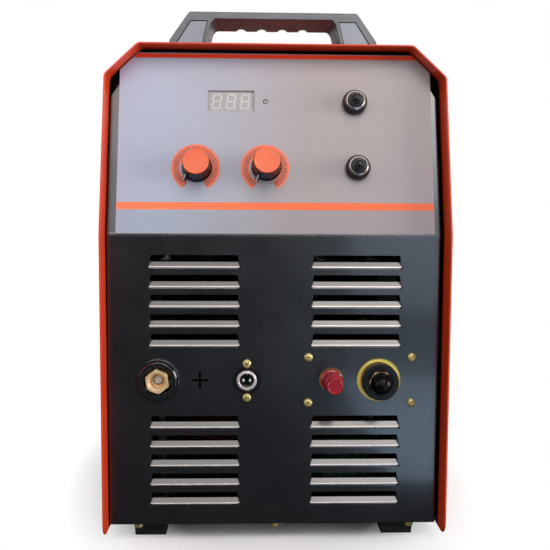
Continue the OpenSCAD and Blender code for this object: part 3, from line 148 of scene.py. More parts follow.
class Piece:
    """One object on the bench, shaped in millimetres with the editor's own steps."""

    def __init__(self, name: str) -> None:
        """Takes over the object that was just added.

        Args:
            name: the object's new name.
        """
        self.obj: bpy.types.Object = bpy.context.active_object
        self.obj.name = name
        self.obj.data.name = name

    # starts

    @classmethod
    def box(cls, name: str, low: Triple, high: Triple) -> "Piece":
        """Starts a block between two corners.

        Args:
            name: the piece's name.
            low: its lowest corner.
            high: its highest corner.

        Returns:
            The block.
        """
        deselect()
        size = Vector(high) - Vector(low)
        middle = (Vector(high) + Vector(low)) / 2
        bpy.ops.mesh.primitive_cube_add(size=1.0, location=middle, scale=size)
        return cls(name).apply()

    @classmethod
    def wall(cls, name: str, low: Point, high: Point) -> "Piece":
        """Starts a single upright sheet facing the front, between two (x, z) corners.

        Args:
            name: the piece's name.
            low: lowest x and z.
            high: highest x and z.

        Returns:
            The sheet.
        """
        deselect()
        middle = ((low[0] + high[0]) / 2, 0.0, (low[1] + high[1]) / 2)
        bpy.ops.mesh.primitive_plane_add(size=1.0, location=middle, rotation=(math.pi / 2, 0.0, 0.0))
        piece = cls(name)
        piece.obj.scale = (high[0] - low[0], high[1] - low[1], 1.0)
        return piece.apply()

    @classmethod
    def drum(cls, name: str, radius: float, z0: float, z1: float, sides: int = 48) -> "Piece":
        """Starts a round or many-sided block along local Z.

        Args:
            name: the piece's name.
            radius: distance from the axis to a corner.
            z0: lower end.
            z1: upper end.
            sides: number of sides.

        Returns:
            The block.
        """
        deselect()
        bpy.ops.mesh.primitive_cylinder_add(vertices=sides, radius=radius, depth=z1 - z0,
                                            location=(0.0, 0.0, (z0 + z1) / 2))
        return cls(name).apply()

    @classmethod
    def chain(cls, name: str, points: Sequence[Triple]) -> "Piece":
        """Starts a chain of edges by pulling one vertex from point to point.

        Args:
            name: the piece's name.
            points: the corners of the chain in order.

        Returns:
            The piece, with its last vertex selected.
        """
        deselect()
        bpy.ops.mesh.primitive_plane_add(size=0.1, location=points[0])
        piece = cls(name).apply()
        with piece.editing():
            bpy.ops.mesh.select_mode(type="VERT")
            bpy.ops.mesh.select_all(action="SELECT")
            bpy.ops.mesh.merge(type="CENTER")
            for start, end in zip(points, points[1:]):
                step = Vector(end) - Vector(start)
                bpy.ops.mesh.extrude_region_move(TRANSFORM_OT_translate={"value": step})
        return piece

    @classmethod
    def outline(cls, name: str, points: Sequence[Point], z0: float, z1: float) -> "Piece":
        """Makes a flat outline in local XY and draws it out from z0 to z1.

        Args:
            name: the piece's name.
            points: the outline's corners in order.
            z0: first end.
            z1: second end.

        Returns:
            The closed solid.
        """
        piece = cls.chain(name, [(x, y, z0) for x, y in points])
        with piece.editing():
            bpy.ops.mesh.select_all(action="SELECT")
            bpy.ops.mesh.edge_face_add()
            bpy.ops.mesh.extrude_region_move(TRANSFORM_OT_translate={"value": (0.0, 0.0, z1 - z0)})
        return piece.face_out()

    @classmethod
    def turned(cls, name: str, profile: Sequence[Point], sides: int = 64, closed: bool = False) -> "Piece":
        """Turns a (radius, height) profile about local Z, as on a lathe.

        Args:
            name: the piece's name.
            profile: radius and height of each corner, from one end to the other.
            sides: steps of the full turn.
            closed: True where the profile comes back to its start, as a ring's does.

        Returns:
            The turned piece, closed at both ends.
        """
        ring = list(profile) + ([profile[0]] if closed else [])
        if not closed and ring[0][0] > 0:
            ring.insert(0, (0.0, ring[0][1]))
        if not closed and ring[-1][0] > 0:
            ring.append((0.0, ring[-1][1]))
        piece = cls.chain(name, [(r, 0.0, z) for r, z in ring])
        with piece.editing():
            bpy.ops.mesh.select_all(action="SELECT")
            bpy.ops.mesh.spin(steps=sides, angle=2 * math.pi, center=(0.0, 0.0, 0.0), axis=(0.0, 0.0, 1.0))
            bpy.ops.mesh.select_all(action="SELECT")
            bpy.ops.mesh.remove_doubles(threshold=0.001)
            bpy.ops.mesh.dissolve_degenerate(threshold=0.0005)
        return piece.face_out()

    # steps

    def only(self) -> None:
        """Selects this object alone and makes it the active one."""
        deselect()
        self.obj.select_set(True)
        bpy.context.view_layer.objects.active = self.obj

    @contextmanager
    def editing(self) -> Iterator[None]:
        """Keeps the piece in edit mode for the length of a with block."""
        self.only()
        bpy.ops.object.mode_set(mode="EDIT")
        bpy.ops.mesh.select_mode(type="VERT")
        yield
        bpy.ops.object.mode_set(mode="OBJECT")

    def pick(self, kind: Kind, test: Test) -> None:
        """Selects what passes the test, in edit mode.

        Args:
            kind: vertices, edges or faces.
            test: given the middle, and the normal or an edge's direction.
        """
        bpy.ops.mesh.select_mode(type=kind.value)
        bpy.ops.mesh.select_all(action="DESELECT")
        mesh = bmesh.from_edit_mesh(self.obj.data)
        if kind is Kind.VERT:
            items = [(v, v.co, v.normal) for v in mesh.verts]
        elif kind is Kind.EDGE:
            ends = [(e, e.verts[0].co, e.verts[1].co) for e in mesh.edges]
            items = [(e, (start + end) / 2, (end - start).normalized()) for e, start, end in ends]
        else:
            items = [(f, f.calc_center_median(), f.normal) for f in mesh.faces]
        for item, middle, way in items:
            if test(middle, way):
                item.select = True
        mesh.select_flush_mode()
        bmesh.update_edit_mesh(self.obj.data)

    def extrude(self, step: Triple) -> None:
        """Draws the picked edges or faces out by one step, in edit mode."""
        bpy.ops.mesh.extrude_region_move(TRANSFORM_OT_translate={"value": step})

    def apply(self) -> "Piece":
        """Puts the object's place into its mesh.

        Returns:
            The piece itself.
        """
        self.only()
        bpy.ops.object.transform_apply(location=True, rotation=True, scale=True)
        return self

    def move(self, seat: Matrix) -> "Piece":
        """Moves the mesh to a seat."""
        self.obj.matrix_world = seat @ self.obj.matrix_world
        return self.apply()

    def face_out(self) -> "Piece":
        """Makes the faces of a closed piece point outwards.

        Returns:
            The piece itself.
        """
        with self.editing():
            bpy.ops.mesh.select_all(action="SELECT")
            bpy.ops.mesh.normals_make_consistent(inside=False)
        return self

    def modify(self, kind: str, **settings: object) -> "Piece":
        """Adds a modifier with its settings and applies it.

        Args:
            kind: the modifier's type.
            settings: its settings by name.

        Returns:
            The piece itself.
        """
        self.only()
        step = self.obj.modifiers.new(kind.lower(), kind)
        for key, value in settings.items():
            setattr(step, key, value)
        bpy.ops.object.modifier_apply(modifier=step.name)
        return self

    def soften(self, width: float, segments: int = 2, angle: float = 35.0, worn: int = -1) -> "Piece":
        """Rounds the edges that are sharper than an angle, with a finish of their own if asked."""
        return self.modify("BEVEL", width=width, segments=segments, limit_method="ANGLE",
                           angle_limit=math.radians(angle), use_clamp_overlap=True, material=worn)

    def coat(self, *finishes: "Finish", worn: int = 0) -> "Piece":
        """Gives the piece several finishes and wears one of them all over.

        Args:
            finishes: one for each slot, in order.
            worn: number of the one worn all over.

        Returns:
            The piece itself.
        """
        for finish in finishes:
            self.obj.data.materials.append(finish.material())
        with self.editing():
            bpy.ops.mesh.select_all(action="SELECT")
            self.obj.active_material_index = worn
            bpy.ops.object.material_slot_assign()
        return self

    def thicken(self, wall: float, inside: int = 0) -> "Piece":
        """Gives a single sheet its thickness, inwards, with another finish inside if asked."""
        return self.modify("SOLIDIFY", thickness=wall, offset=-1.0, use_even_offset=True,
                           material_offset=inside)

    def cut(self, *tools: "Piece") -> "Piece":
        """Takes other pieces' shapes out of this one and clears them away.

        Args:
            tools: the pieces to take out.

        Returns:
            The piece itself.
        """
        for tool in tools:
            self.modify("BOOLEAN", operation="DIFFERENCE", object=tool.obj, solver="EXACT")
            tool.discard()
        return self

    def fuse(self, *others: "Piece") -> "Piece":
        """Unites other pieces with this one.

        Args:
            others: the pieces to unite with it.

        Returns:
            The piece itself.
        """
        for other in others:
            self.modify("BOOLEAN", operation="UNION", object=other.obj, solver="EXACT")
            other.discard()
        return self

    def join(self, *others: "Piece") -> "Piece":
        """Brings other pieces into this object as they are.

        Args:
            others: the pieces to bring in.

        Returns:
            The piece itself.
        """
        self.only()
        for other in others:
            other.obj.select_set(True)
        bpy.ops.object.join()
        return self

    def copy(self, seat: Matrix) -> "Piece":
        """Copies the piece, with a mesh of its own, to a seat.

        Args:
            seat: where the copy goes.

        Returns:
            The copy.
        """
        self.only()
        bpy.ops.object.duplicate(linked=False)
        return Piece(self.obj.name + "_copy").move(seat)

    def at_seats(self, seats: Sequence[Matrix]) -> "Piece":
        """Puts a copy at every seat and joins them into one piece.

        Args:
            seats: where the copies go.

        Returns:
            The joined piece, under the first one's name.
        """
        name = self.obj.name
        copies = [self.copy(seat) for seat in seats]
        self.discard()
        first = copies[0].join(*copies[1:])
        first.obj.name = name
        first.obj.data.name = name
        return first

    def discard(self) -> None:
        """Clears the piece away."""
        bpy.data.objects.remove(self.obj, do_unlink=True)

    def smooth(self, angle: float = 32.0, plain: float = 1e9) -> "Piece":
        """Shades smooth across edges flatter than an angle, with faces above an area left plain.

        Args:
            angle: sharpest bend that is still smoothed, in degrees.
            plain: area above which a face stays plain.

        Returns:
            The piece itself.
        """
        self.only()
        bpy.ops.object.shade_smooth_by_angle(angle=math.radians(angle))
        wide = {face.index for face in self.obj.data.polygons if face.area > plain}
        if wide:
            with self.editing():
                bpy.ops.mesh.select_mode(type="FACE")
                bpy.ops.mesh.select_all(action="DESELECT")
                mesh = bmesh.from_edit_mesh(self.obj.data)
                for face in mesh.faces:
                    face.select = face.index in wide
                bmesh.update_edit_mesh(self.obj.data)
                bpy.ops.mesh.faces_shade_flat()
        return self.modify("WEIGHTED_NORMAL", keep_sharp=True, weight=100)

    def hand_in(self, body: str, slot: Slot, finish: "Finish", *nodes: str) -> "Piece":
        """Seats the finished piece in metres, dresses it and hides the solids that it stands for.

        Args:
            body: the body that it moves with.
            slot: the record's finish slot; not used.
            finish: what it is dressed with.
            nodes: the solids that it stands for.

        Returns:
            The piece itself.
        """
        self.move(Matrix.Scale(MM, 4) @ Matrix.Translation((0.0, PANEL_Y, 0.0)))
        if not self.obj.data.materials:
            self.obj.data.materials.append(finish.material())
        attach(self.obj, body)
        if nodes:
            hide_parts(*nodes)
        LOG.info("%s: %d faces, rides on %s", self.obj.name, len(self.obj.data.polygons), body)
        return self


def deselect() -> None:
    """Leaves nothing selected."""
    for obj in bpy.context.selected_objects:
        obj.select_set(False)


def near(a: float, b: float, slack: float = 0.05) -> bool:
    """Tells whether two sizes are the same within a slack."""
    return abs(a - b) < slack


# ---------- finishes ----------


def tint(red: int, green: int, blue: int) -> Shade:
    """Turns a colour as it is seen, 0 to 255, into the shader's scale.

    Args:
        red: red channel.
        green: green channel.
        blue: blue channel.

    Returns:
        The colour, with full cover.
    """
    def linear(value: float) -> float:
        """One channel."""
        part = value / 255.0
        return part / 12.92 if part <= 0.04045 else ((part + 0.055) / 1.055) ** 2.4
    return (linear(red), linear(green), linear(blue), 1.0)


class Recipe:
    """A material's node tree, with the steps that the finishes share."""

    def __init__(self, name: str) -> None:
        """Starts the tree with its shader, output and coordinates.

        Args:
            name: the material's name.
        """
        self.material = bpy.data.materials.new(name)
        self.material.use_nodes = True
        self.nodes = self.material.node_tree.nodes
        self.nodes.clear()
        self.shader = self.add("ShaderNodeBsdfPrincipled")
        self.output = self.add("ShaderNodeOutputMaterial")
        self.link(self.shader.outputs["BSDF"], self.output.inputs["Surface"])
        self.place = self.add("ShaderNodeTexCoord").outputs["Object"]

    def add(self, kind: str, **values: object) -> bpy.types.Node:
        """Adds a node and sets its properties.

        Args:
            kind: the node's type.
            values: its properties by name.

        Returns:
            The node.
        """
        node = self.nodes.new(kind)
        for key, value in values.items():
            setattr(node, key, value)
        return node

    def link(self, source: bpy.types.NodeSocket, target: bpy.types.NodeSocket) -> None:
        """Joins two sockets."""
        self.material.node_tree.links.new(source, target)

    def spread(self, stretch: Triple, shift: Triple = (0.0, 0.0, 0.0), turn: Triple = (0.0, 0.0, 0.0),
               ) -> bpy.types.NodeSocket:
        """Object coordinates stretched, shifted and turned for one pattern.

        Args:
            stretch: scale on each axis.
            shift: shift on each axis, in metres.
            turn: turn about each axis, in radians.

        Returns:
            The changed coordinates.
        """
        mapping = self.add("ShaderNodeMapping")
        mapping.inputs["Location"].default_value = shift
        mapping.inputs["Rotation"].default_value = turn
        mapping.inputs["Scale"].default_value = stretch
        self.link(self.place, mapping.inputs["Vector"])
        return mapping.outputs["Vector"]

    def noise(self, scale: float, detail: float = 3.0,
              stretch: Triple = (1.0, 1.0, 1.0)) -> bpy.types.NodeSocket:
        """A cloudy pattern from 0 to 1.

        Args:
            scale: clouds to a metre.
            detail: layers of finer cloud.
            stretch: scale on each axis.

        Returns:
            The pattern.
        """
        node = self.add("ShaderNodeTexNoise")
        node.inputs["Scale"].default_value = scale
        node.inputs["Detail"].default_value = detail
        node.inputs["Roughness"].default_value = NOISE_ROUGHNESS
        self.link(self.spread(stretch), node.inputs["Vector"])
        return node.outputs["Fac"]

    def cells(self, scale: float) -> bpy.types.NodeSocket:
        """A pebbled pattern.

        Args:
            scale: pebbles to a metre.

        Returns:
            The distance from each pebble's middle.
        """
        node = self.add("ShaderNodeTexVoronoi", feature="F1")
        node.inputs["Scale"].default_value = scale
        self.link(self.place, node.inputs["Vector"])
        return node.outputs["Distance"]

    def waves(self, scale: float, turn: Triple = (0.0, 0.0, 0.0), rings: str = "",
              shift: Triple = (0.0, 0.0, 0.0), warp: float = 0.0) -> bpy.types.NodeSocket:
        """Parallel bands, or rings about one direction.

        Args:
            scale: bands to a metre, roughly.
            turn: turn about each axis, in radians.
            rings: the rings' axis, or nothing for bands.
            shift: shift on each axis, in metres.
            warp: how much noise bends them.

        Returns:
            The pattern.
        """
        node = self.add("ShaderNodeTexWave", wave_type="RINGS" if rings else "BANDS")
        if rings:
            node.rings_direction = rings
        node.inputs["Scale"].default_value = scale
        node.inputs["Distortion"].default_value = warp
        self.link(self.spread((1.0, 1.0, 1.0), shift, turn), node.inputs["Vector"])
        return node.outputs["Fac"]

    def fit(self, value: bpy.types.NodeSocket, low: float, high: float, source_low: float = 0.3,
            source_high: float = 0.7) -> bpy.types.NodeSocket:
        """Spreads a pattern between two values.

        Args:
            value: the pattern.
            low: value at source_low.
            high: value at source_high.
            source_low: where the pattern starts to count.
            source_high: where it stops.

        Returns:
            The fitted pattern.
        """
        node = self.add("ShaderNodeMapRange")
        self.link(value, node.inputs["Value"])
        node.inputs["From Min"].default_value = source_low
        node.inputs["From Max"].default_value = source_high
        node.inputs["To Min"].default_value = low
        node.inputs["To Max"].default_value = high
        return node.outputs["Result"]

    def sum(self, operation: str, first: bpy.types.NodeSocket, second: object) -> bpy.types.NodeSocket:
        """Works out one step of arithmetic on a socket and a number or another socket.

        Args:
            operation: the step's name.
            first: a socket.
            second: a number or a socket.

        Returns:
            The result.
        """
        node = self.add("ShaderNodeMath", operation=operation)
        self.link(first, node.inputs[0])
        if isinstance(second, bpy.types.NodeSocket):
            self.link(second, node.inputs[1])
        else:
            node.inputs[1].default_value = second
        return node.outputs[0]

    def blend(self, share: bpy.types.NodeSocket, first: object, second: object) -> bpy.types.NodeSocket:
        """Mixes two colours, each a colour or a socket, by a pattern.

        Args:
            share: how much of the second.
            first: a colour or a socket.
            second: a colour or a socket.

        Returns:
            The mixed colour.
        """
        node = self.add("ShaderNodeMix", data_type="RGBA")
        self.link(share, node.inputs[0])
        for socket, value in ((node.inputs[6], first), (node.inputs[7], second)):
            if isinstance(value, bpy.types.NodeSocket):
                self.link(value, socket)
            else:
                socket.default_value = value
        return node.outputs[2]

    def colour(self, socket: bpy.types.NodeSocket) -> None:
        """Sends a colour to the shader."""
        self.link(socket, self.shader.inputs["Base Color"])

    def gloss(self, socket: bpy.types.NodeSocket) -> None:
        """Sends a roughness to the shader."""
        self.link(socket, self.shader.inputs["Roughness"])

    def relief(self, *layers: tuple[bpy.types.NodeSocket, float, float]) -> None:
        """Sends bumps to the shader, each a pattern, a strength and a depth in metres.

        Args:
            layers: pattern, strength and depth of each bump.
        """
        last = None
        for pattern, strength, depth in layers:
            bump = self.add("ShaderNodeBump")
            bump.inputs["Strength"].default_value = strength
            bump.inputs["Distance"].default_value = depth
            self.link(pattern, bump.inputs["Height"])
            if last is not None:
                self.link(last, bump.inputs["Normal"])
            last = bump.outputs["Normal"]
        if last is not None:
            self.link(last, self.shader.inputs["Normal"])

    def steady(self, **values: object) -> None:
        """Sets values that are the same all over on the shader's own sockets."""
        for key, value in values.items():
            self.shader.inputs[key.replace("_", " ")].default_value = value


@dataclass(frozen=True)
class Finish:
    """A moulded or painted surface: mottled colour, fine grain and uneven gloss."""

    name: str
    main: tuple[int, int, int]
    second: tuple[int, int, int]
    rough: Point = (0.35, 0.45)
    mottle: float = 30.0
    grain: float = 1500.0
    depth: float = 0.0001
    metal: float = 0.0
    specular: float = 0.5
    coat: float = 0.0
    coat_rough: float = 0.1

    def material(self) -> bpy.types.Material:
        """Gives the finish's material, made once.

        Returns:
            The material.
        """
        made = bpy.data.materials.get("finish_" + self.name)
        if made is not None:
            return made
        recipe = Recipe("finish_" + self.name)
        recipe.steady(Metallic=self.metal, Specular_IOR_Level=self.specular, Coat_Weight=self.coat,
                      Coat_Roughness=self.coat_rough)
        self.surface(recipe)
        return recipe.material

    def surface(self, recipe: Recipe) -> None:
        """Draws the finish's own pattern.

        Args:
            recipe: the material's node tree.
        """
        cloud = recipe.noise(self.mottle, 4.0)
        recipe.colour(recipe.blend(recipe.fit(cloud, 0.0, 1.0), tint(*self.main), tint(*self.second)))
        recipe.gloss(recipe.fit(recipe.noise(self.mottle * 3.1, 3.0), *self.rough))
        recipe.relief((recipe.noise(self.grain, 2.0), 0.35, self.depth))


@dataclass(frozen=True)
class PowderCoat(Finish):
    """Baked paint on folded sheet, with its orange-peel skin and a paler colour along sharp edges."""

    edge_colour: tuple[int, int, int] = (255, 150, 110)
    edge_strength: float = 0.6
    peel: float = 0.18

    def surface(self, recipe: Recipe) -> None:
        """Adds the long waves of the skin and a paler line along sharp convex edges.

        Args:
            recipe: the material's node tree.
        """
        cloud = recipe.fit(recipe.noise(self.mottle, 3.0), 0.0, 1.0)
        base = recipe.blend(cloud, tint(*self.main), tint(*self.second))
        edge = recipe.add("ShaderNodeNewGeometry").outputs["Pointiness"]
        # paler colour along sharp convex edges, by the mesh's pointiness
        edge_share = recipe.fit(edge, 0.0, self.edge_strength, 0.53, 0.6)
        recipe.colour(recipe.blend(edge_share, base, tint(*self.edge_colour)))
        recipe.gloss(recipe.fit(recipe.noise(self.mottle * 4.0, 3.0), *self.rough))
        recipe.relief((recipe.noise(420.0, 2.0), self.peel, 0.0002),
                      (recipe.noise(self.grain, 2.0), 0.25, self.depth))


@dataclass(frozen=True)
class InsideShadeCoat(PowderCoat):
    """The cover's inner face: paint ahead of the front panel, and near-black painted shade behind it for the
    shaded inside of the case.
    """

    def surface(self, recipe: Recipe) -> None:
        """Lets the paint give way to near-black painted shade just behind the panel, upright and leaning
        alike.

        Args:
            recipe: the material's node tree.
        """
        super().surface(recipe)
        paint = recipe.shader.inputs["Base Color"].links[0].from_socket
        place = recipe.add("ShaderNodeSeparateXYZ")
        recipe.link(recipe.place, place.inputs[0])
        above = recipe.sum("SUBTRACT", place.outputs[2], BEND_Z * MM)
        rise = recipe.sum("MAXIMUM", above, 0.0)
        setback = recipe.sum("MULTIPLY", rise, -math.tan(LEAN))
        depth = recipe.sum("ADD", setback, place.outputs[1])
        painted_shade_share = recipe.fit(depth, 0.0, 1.0, (PANEL_Y + 3.0) * MM, (PANEL_Y + 6.0) * MM)
        # painted shade: near black behind the panel, where the inside of the case is in shade
        recipe.colour(recipe.blend(painted_shade_share, paint, tint(12, 11, 11)))


@dataclass(frozen=True)
class Machined(Finish):
    """Turned or stamped metal with fine tool lines round an axis along Y."""

    axis: Point = (0.0, 0.0)
    lines: float = 900.0

    def surface(self, recipe: Recipe) -> None:
        """Draws tool lines about the axis and a light tarnish.

        Args:
            recipe: the material's node tree.
        """
        shift = (-self.axis[0] * MM, 0.0, -self.axis[1] * MM)
        lines = recipe.waves(self.lines, rings="Y", shift=shift, warp=1.5)
        tarnish = recipe.fit(recipe.noise(self.mottle, 5.0), 0.0, 1.0)
        recipe.colour(recipe.blend(tarnish, tint(*self.main), tint(*self.second)))
        recipe.gloss(recipe.fit(recipe.noise(self.mottle * 2.3, 4.0), *self.rough))
        recipe.relief((lines, 0.12, 0.00003), (recipe.noise(self.grain, 2.0), 0.1, self.depth))


@dataclass(frozen=True)
class Grained(Finish):
    """Moulded plastic with an etched leather grain."""

    def surface(self, recipe: Recipe) -> None:
        """Lays pebbles over clouds for the etched grain.

        Args:
            recipe: the material's node tree.
        """
        cloud = recipe.fit(recipe.noise(self.mottle, 5.0), 0.0, 1.0)
        pebbles = recipe.cells(self.grain)
        speck = recipe.fit(pebbles, 0.0, 0.5, 0.1, 0.7)
        base = recipe.blend(cloud, tint(*self.main), tint(*self.second))
        recipe.colour(recipe.blend(speck, base, tint(*self.second)))
        recipe.gloss(recipe.fit(recipe.noise(self.mottle * 4, 3.0), *self.rough))
        recipe.relief((pebbles, 0.4, self.depth), (recipe.noise(self.grain * 0.3, 3.0), 0.3, self.depth * 2))


@dataclass(frozen=True)
class Film(Finish):
    """Printed silver film with fine flakes and faint rolling lines across it, and painted light in its
    colour.
    """

    def surface(self, recipe: Recipe) -> None:
        """Paints light into the film's colour, cool on its left side and warm on its right side as cool and
        warm lamps would tint it, and adds its flakes.

        Args:
            recipe: the material's node tree.
        """
        across = recipe.add("ShaderNodeSeparateXYZ")
        recipe.link(recipe.place, across.inputs[0])
        painted_light_drift = recipe.add("ShaderNodeMath", operation="MULTIPLY_ADD")
        recipe.link(recipe.noise(3.0, 2.0), painted_light_drift.inputs[0])
        painted_light_drift.inputs[1].default_value = 0.05
        recipe.link(across.outputs[0], painted_light_drift.inputs[2])
        # painted light: the second colour on the left gives way to the main colour on the right
        side = recipe.fit(painted_light_drift.outputs[0], 1.0, 0.0, -0.12, 0.05)
        flakes = recipe.noise(5200.0, 1.0)
        lines = recipe.noise(300.0, 2.0, (0.05, 1.0, 4.0))
        recipe.colour(recipe.blend(side, tint(*self.main), tint(*self.second)))
        recipe.gloss(recipe.fit(lines, *self.rough))
        recipe.relief((flakes, 0.05, 0.00004), (lines, 0.04, self.depth))


@dataclass(frozen=True)
class Laminate(Finish):
    """Glass and resin board with its woven threads."""

    threads: float = 420.0

    def surface(self, recipe: Recipe) -> None:
        """Crosses two sets of threads under the resin.

        Args:
            recipe: the material's node tree.
        """
        across = recipe.waves(self.threads, warp=0.6)
        along = recipe.waves(self.threads, (0.0, math.pi / 2, 0.0), warp=0.6)
        weave = recipe.sum("MULTIPLY", across, along)
        cloud = recipe.fit(recipe.noise(self.mottle, 4.0), 0.0, 1.0)
        base = recipe.blend(cloud, tint(*self.main), tint(*self.second))
        shade = recipe.fit(weave, 0.0, 0.35, 0.2, 0.9)
        recipe.colour(recipe.blend(shade, base, tint(*self.second)))
        recipe.gloss(recipe.fit(recipe.noise(self.mottle * 2, 3.0), *self.rough))
        recipe.relief((weave, 0.15, self.depth))


@dataclass(frozen=True)
class Board(Finish):
    """Circuit board: lacquer over copper tracks and rows of pads."""

    def surface(self, recipe: Recipe) -> None:
        """Draws tracks as blocks with narrow gaps.

        Args:
            recipe: the material's node tree.
        """
        tracks = recipe.add("ShaderNodeTexBrick")
        tracks.inputs["Scale"].default_value = 55.0
        tracks.inputs["Mortar Size"].default_value = 0.035
        tracks.inputs["Color1"].default_value = tint(*self.main)
        tracks.inputs["Color2"].default_value = tint(*self.second)
        tracks.inputs["Mortar"].default_value = tint(12, 40, 24)
        recipe.link(recipe.place, tracks.inputs["Vector"])
        pads = recipe.fit(recipe.cells(220.0), 1.0, 0.0, 0.1, 0.16)
        recipe.colour(recipe.blend(pads, tracks.outputs["Color"], tint(190, 190, 180)))
        recipe.gloss(recipe.fit(recipe.noise(self.mottle, 3.0), *self.rough))
        recipe.relief((tracks.outputs["Fac"], 0.3, self.depth))


@dataclass(frozen=True)
class Wound(Finish):
    """Enamelled wire laid in close turns."""

    pitch: float = 95.0

    def surface(self, recipe: Recipe) -> None:
        """Draws the turns as bands with dark lines between them.

        Args:
            recipe: the material's node tree.
        """
        turns = recipe.waves(self.pitch, (0.0, math.pi / 2, 0.0))
        base = recipe.blend(recipe.fit(turns, 0.0, 1.0, 0.0, 0.5), tint(*self.second), tint(*self.main))
        recipe.colour(base)
        recipe.gloss(recipe.fit(recipe.noise(self.mottle, 3.0), *self.rough))
        recipe.relief((turns, 0.8, 0.0012))


COVER_PAINT = PowderCoat("cover_orange_paint", (222, 66, 24), (214, 58, 20), (0.3, 0.4), 6.0, 1400.0, 0.00006)
COVER_INSIDE_SHADE = InsideShadeCoat("cover_inner_painted_shade", (222, 66, 24), (214, 58, 20), (0.3, 0.4), 6.0, 1400.0, 0.00006)
PANEL_PAINT = PowderCoat("panel_black_paint", (14, 15, 18), (12, 13, 16), (0.24, 0.32), 5.0, 1500.0, 0.00006,
                         specular=1.0, coat=0.7, coat_rough=0.1, edge_strength=0.0, peel=0.05)
# Painted highlight: a light metal finish on the louvres' lower bends. It reflects the lamps and stands in for
# the bright line along each bend.
BEND_HIGHLIGHT = Finish("bend_painted_highlight", (176, 168, 164), (160, 153, 150), (0.28, 0.36), 60.0, 1500.0, 0.00003,
                     metal=0.9)
# The film and the inks run from their second colour on the left to their main colour on the right: painted
# light, a cooler cast on the left and a warmer one on the right.
PLATE_FILM = Film("plate_film", (160, 148, 147), (172, 180, 201), (0.34, 0.46), depth=0.00002)
BAND_INK = Film("lower_band_ink", (150, 138, 139), (156, 168, 186), (0.34, 0.46), depth=0.00002)
ORANGE_INK = Film("orange_ink", (238, 100, 38), (255, 124, 72), (0.34, 0.44), depth=0.00002)
DIAL_INK = Film("dial_ink", (240, 112, 78), (244, 116, 82), (0.34, 0.44), depth=0.00002)
TOP_INK = Film("top_strip_ink", (240, 66, 22), (234, 60, 18), (0.34, 0.44), depth=0.00002)
TICK_INK = Film("tick_ink", (30, 14, 12), (28, 13, 12), (0.4, 0.5), depth=0.00002)
WHITE_INK = Film("white_ink", (214, 198, 194), (210, 198, 198), (0.4, 0.5), depth=0.00002)
# Painted shadow: the grey edge round the display window.
WINDOW_SHADOW_INK = Film("window_painted_shadow_ink", (138, 132, 132), (136, 134, 140), (0.4, 0.5), depth=0.00002)
WINDOW_PANE = Finish("window_pane", (168, 162, 162), (160, 156, 157), (0.24, 0.34), 14.0, 2200.0, 0.00002)
SEGMENT_LIGHT = Finish("segment_plastic", (204, 196, 194), (196, 189, 188), (0.3, 0.4), 60.0, 2500.0,
                       0.00002)
LAMP_LENS = Finish("lamp_lens", (150, 143, 140), (140, 134, 132), (0.2, 0.3), 120.0, 1800.0, 0.00003)
KNOB_BLACK = Finish("knob_black", (11, 11, 12), (8, 8, 9), (0.2, 0.3), 60.0, 1800.0, 0.00003, specular=0.14)
CAP_ORANGE = Finish("cap_orange", (236, 106, 62), (230, 98, 56), (0.4, 0.5), 30.0, 2200.0, 0.00003)
POINTER_WHITE = Finish("pointer_white", (245, 245, 243), (236, 236, 233), (0.3, 0.4), 40.0, 1500.0, 0.00003)
BLACK_PLASTIC = Finish("black_plastic", (10, 10, 11), (7, 7, 8), (0.14, 0.22), 40.0, 1600.0, 0.00003,
                       specular=0.35)
GLOSS_BLACK = Finish("gloss_black", (13, 13, 15), (9, 9, 11), (0.1, 0.18), 40.0, 1600.0, 0.00003,
                     specular=1.0, coat=0.8, coat_rough=0.06)
DISC_BLACK = Finish("disc_black", (11, 11, 13), (8, 8, 10), (0.3, 0.4), 40.0, 1600.0, 0.00003, specular=0.3)
FLANGE_BLACK = Finish("flange_black", (14, 15, 17), (10, 11, 13), (0.24, 0.34), 60.0, 1800.0, 0.00003)
# Painted shade: the module shelf is made near black to stand in for the shade inside the case.
SHELF_SHADE = Finish("shelf_painted_shade", (30, 29, 30), (22, 21, 22), (0.55, 0.7), 20.0, 900.0, 0.00005)
SATIN_BLACK = Finish("fan_black", (30, 30, 32), (23, 23, 25), (0.38, 0.5), 30.0, 1400.0, 0.00006)
BOOT_RUBBER = Finish("boot_rubber", (10, 9, 9), (7, 7, 7), (0.26, 0.36), 70.0, 1500.0, 0.00004)
FOOT_RUBBER = Grained("foot_rubber", (27, 28, 26), (20, 21, 19), (0.55, 0.7), 40.0, 900.0, 0.0001)
HANDLE_GREY = Grained("handle_grained_grey", (120, 126, 128), (100, 105, 108), (0.36, 0.5), 22.0, 620.0,
                      0.0001)
# Painted shade: the darker, purplish grey on the handle's finger hole, grooves, inset trenches and rounded
# edges.
HANDLE_SHADE = Grained("handle_painted_shade", (76, 68, 82), (62, 55, 68), (0.4, 0.54), 22.0, 620.0, 0.0001)
HANDLE_PLATE = Grained("handle_inset_grey", (158, 168, 178), (136, 146, 156), (0.36, 0.5), 22.0, 620.0,
                       0.0001)
RED_POST = Finish("post_red", (162, 13, 33), (136, 8, 25), (0.2, 0.3), 90.0, 1500.0, 0.00004, coat=0.5,
                  coat_rough=0.06)
BRASS = Machined("brass", (222, 192, 140), (196, 160, 104), (0.16, 0.3), 120.0, 2000.0, 0.00002, metal=1.0)
WORK_BRASS = Machined("work_brass", (244, 218, 174), (232, 200, 150), (0.28, 0.4), 90.0, 2000.0, 0.00002,
                      metal=0.45, axis=(WORK_X, ROW_Z))
NICKEL = Machined("nickel", (226, 224, 220), (200, 198, 194), (0.12, 0.22), 120.0, 2000.0, 0.00002, metal=1.0)
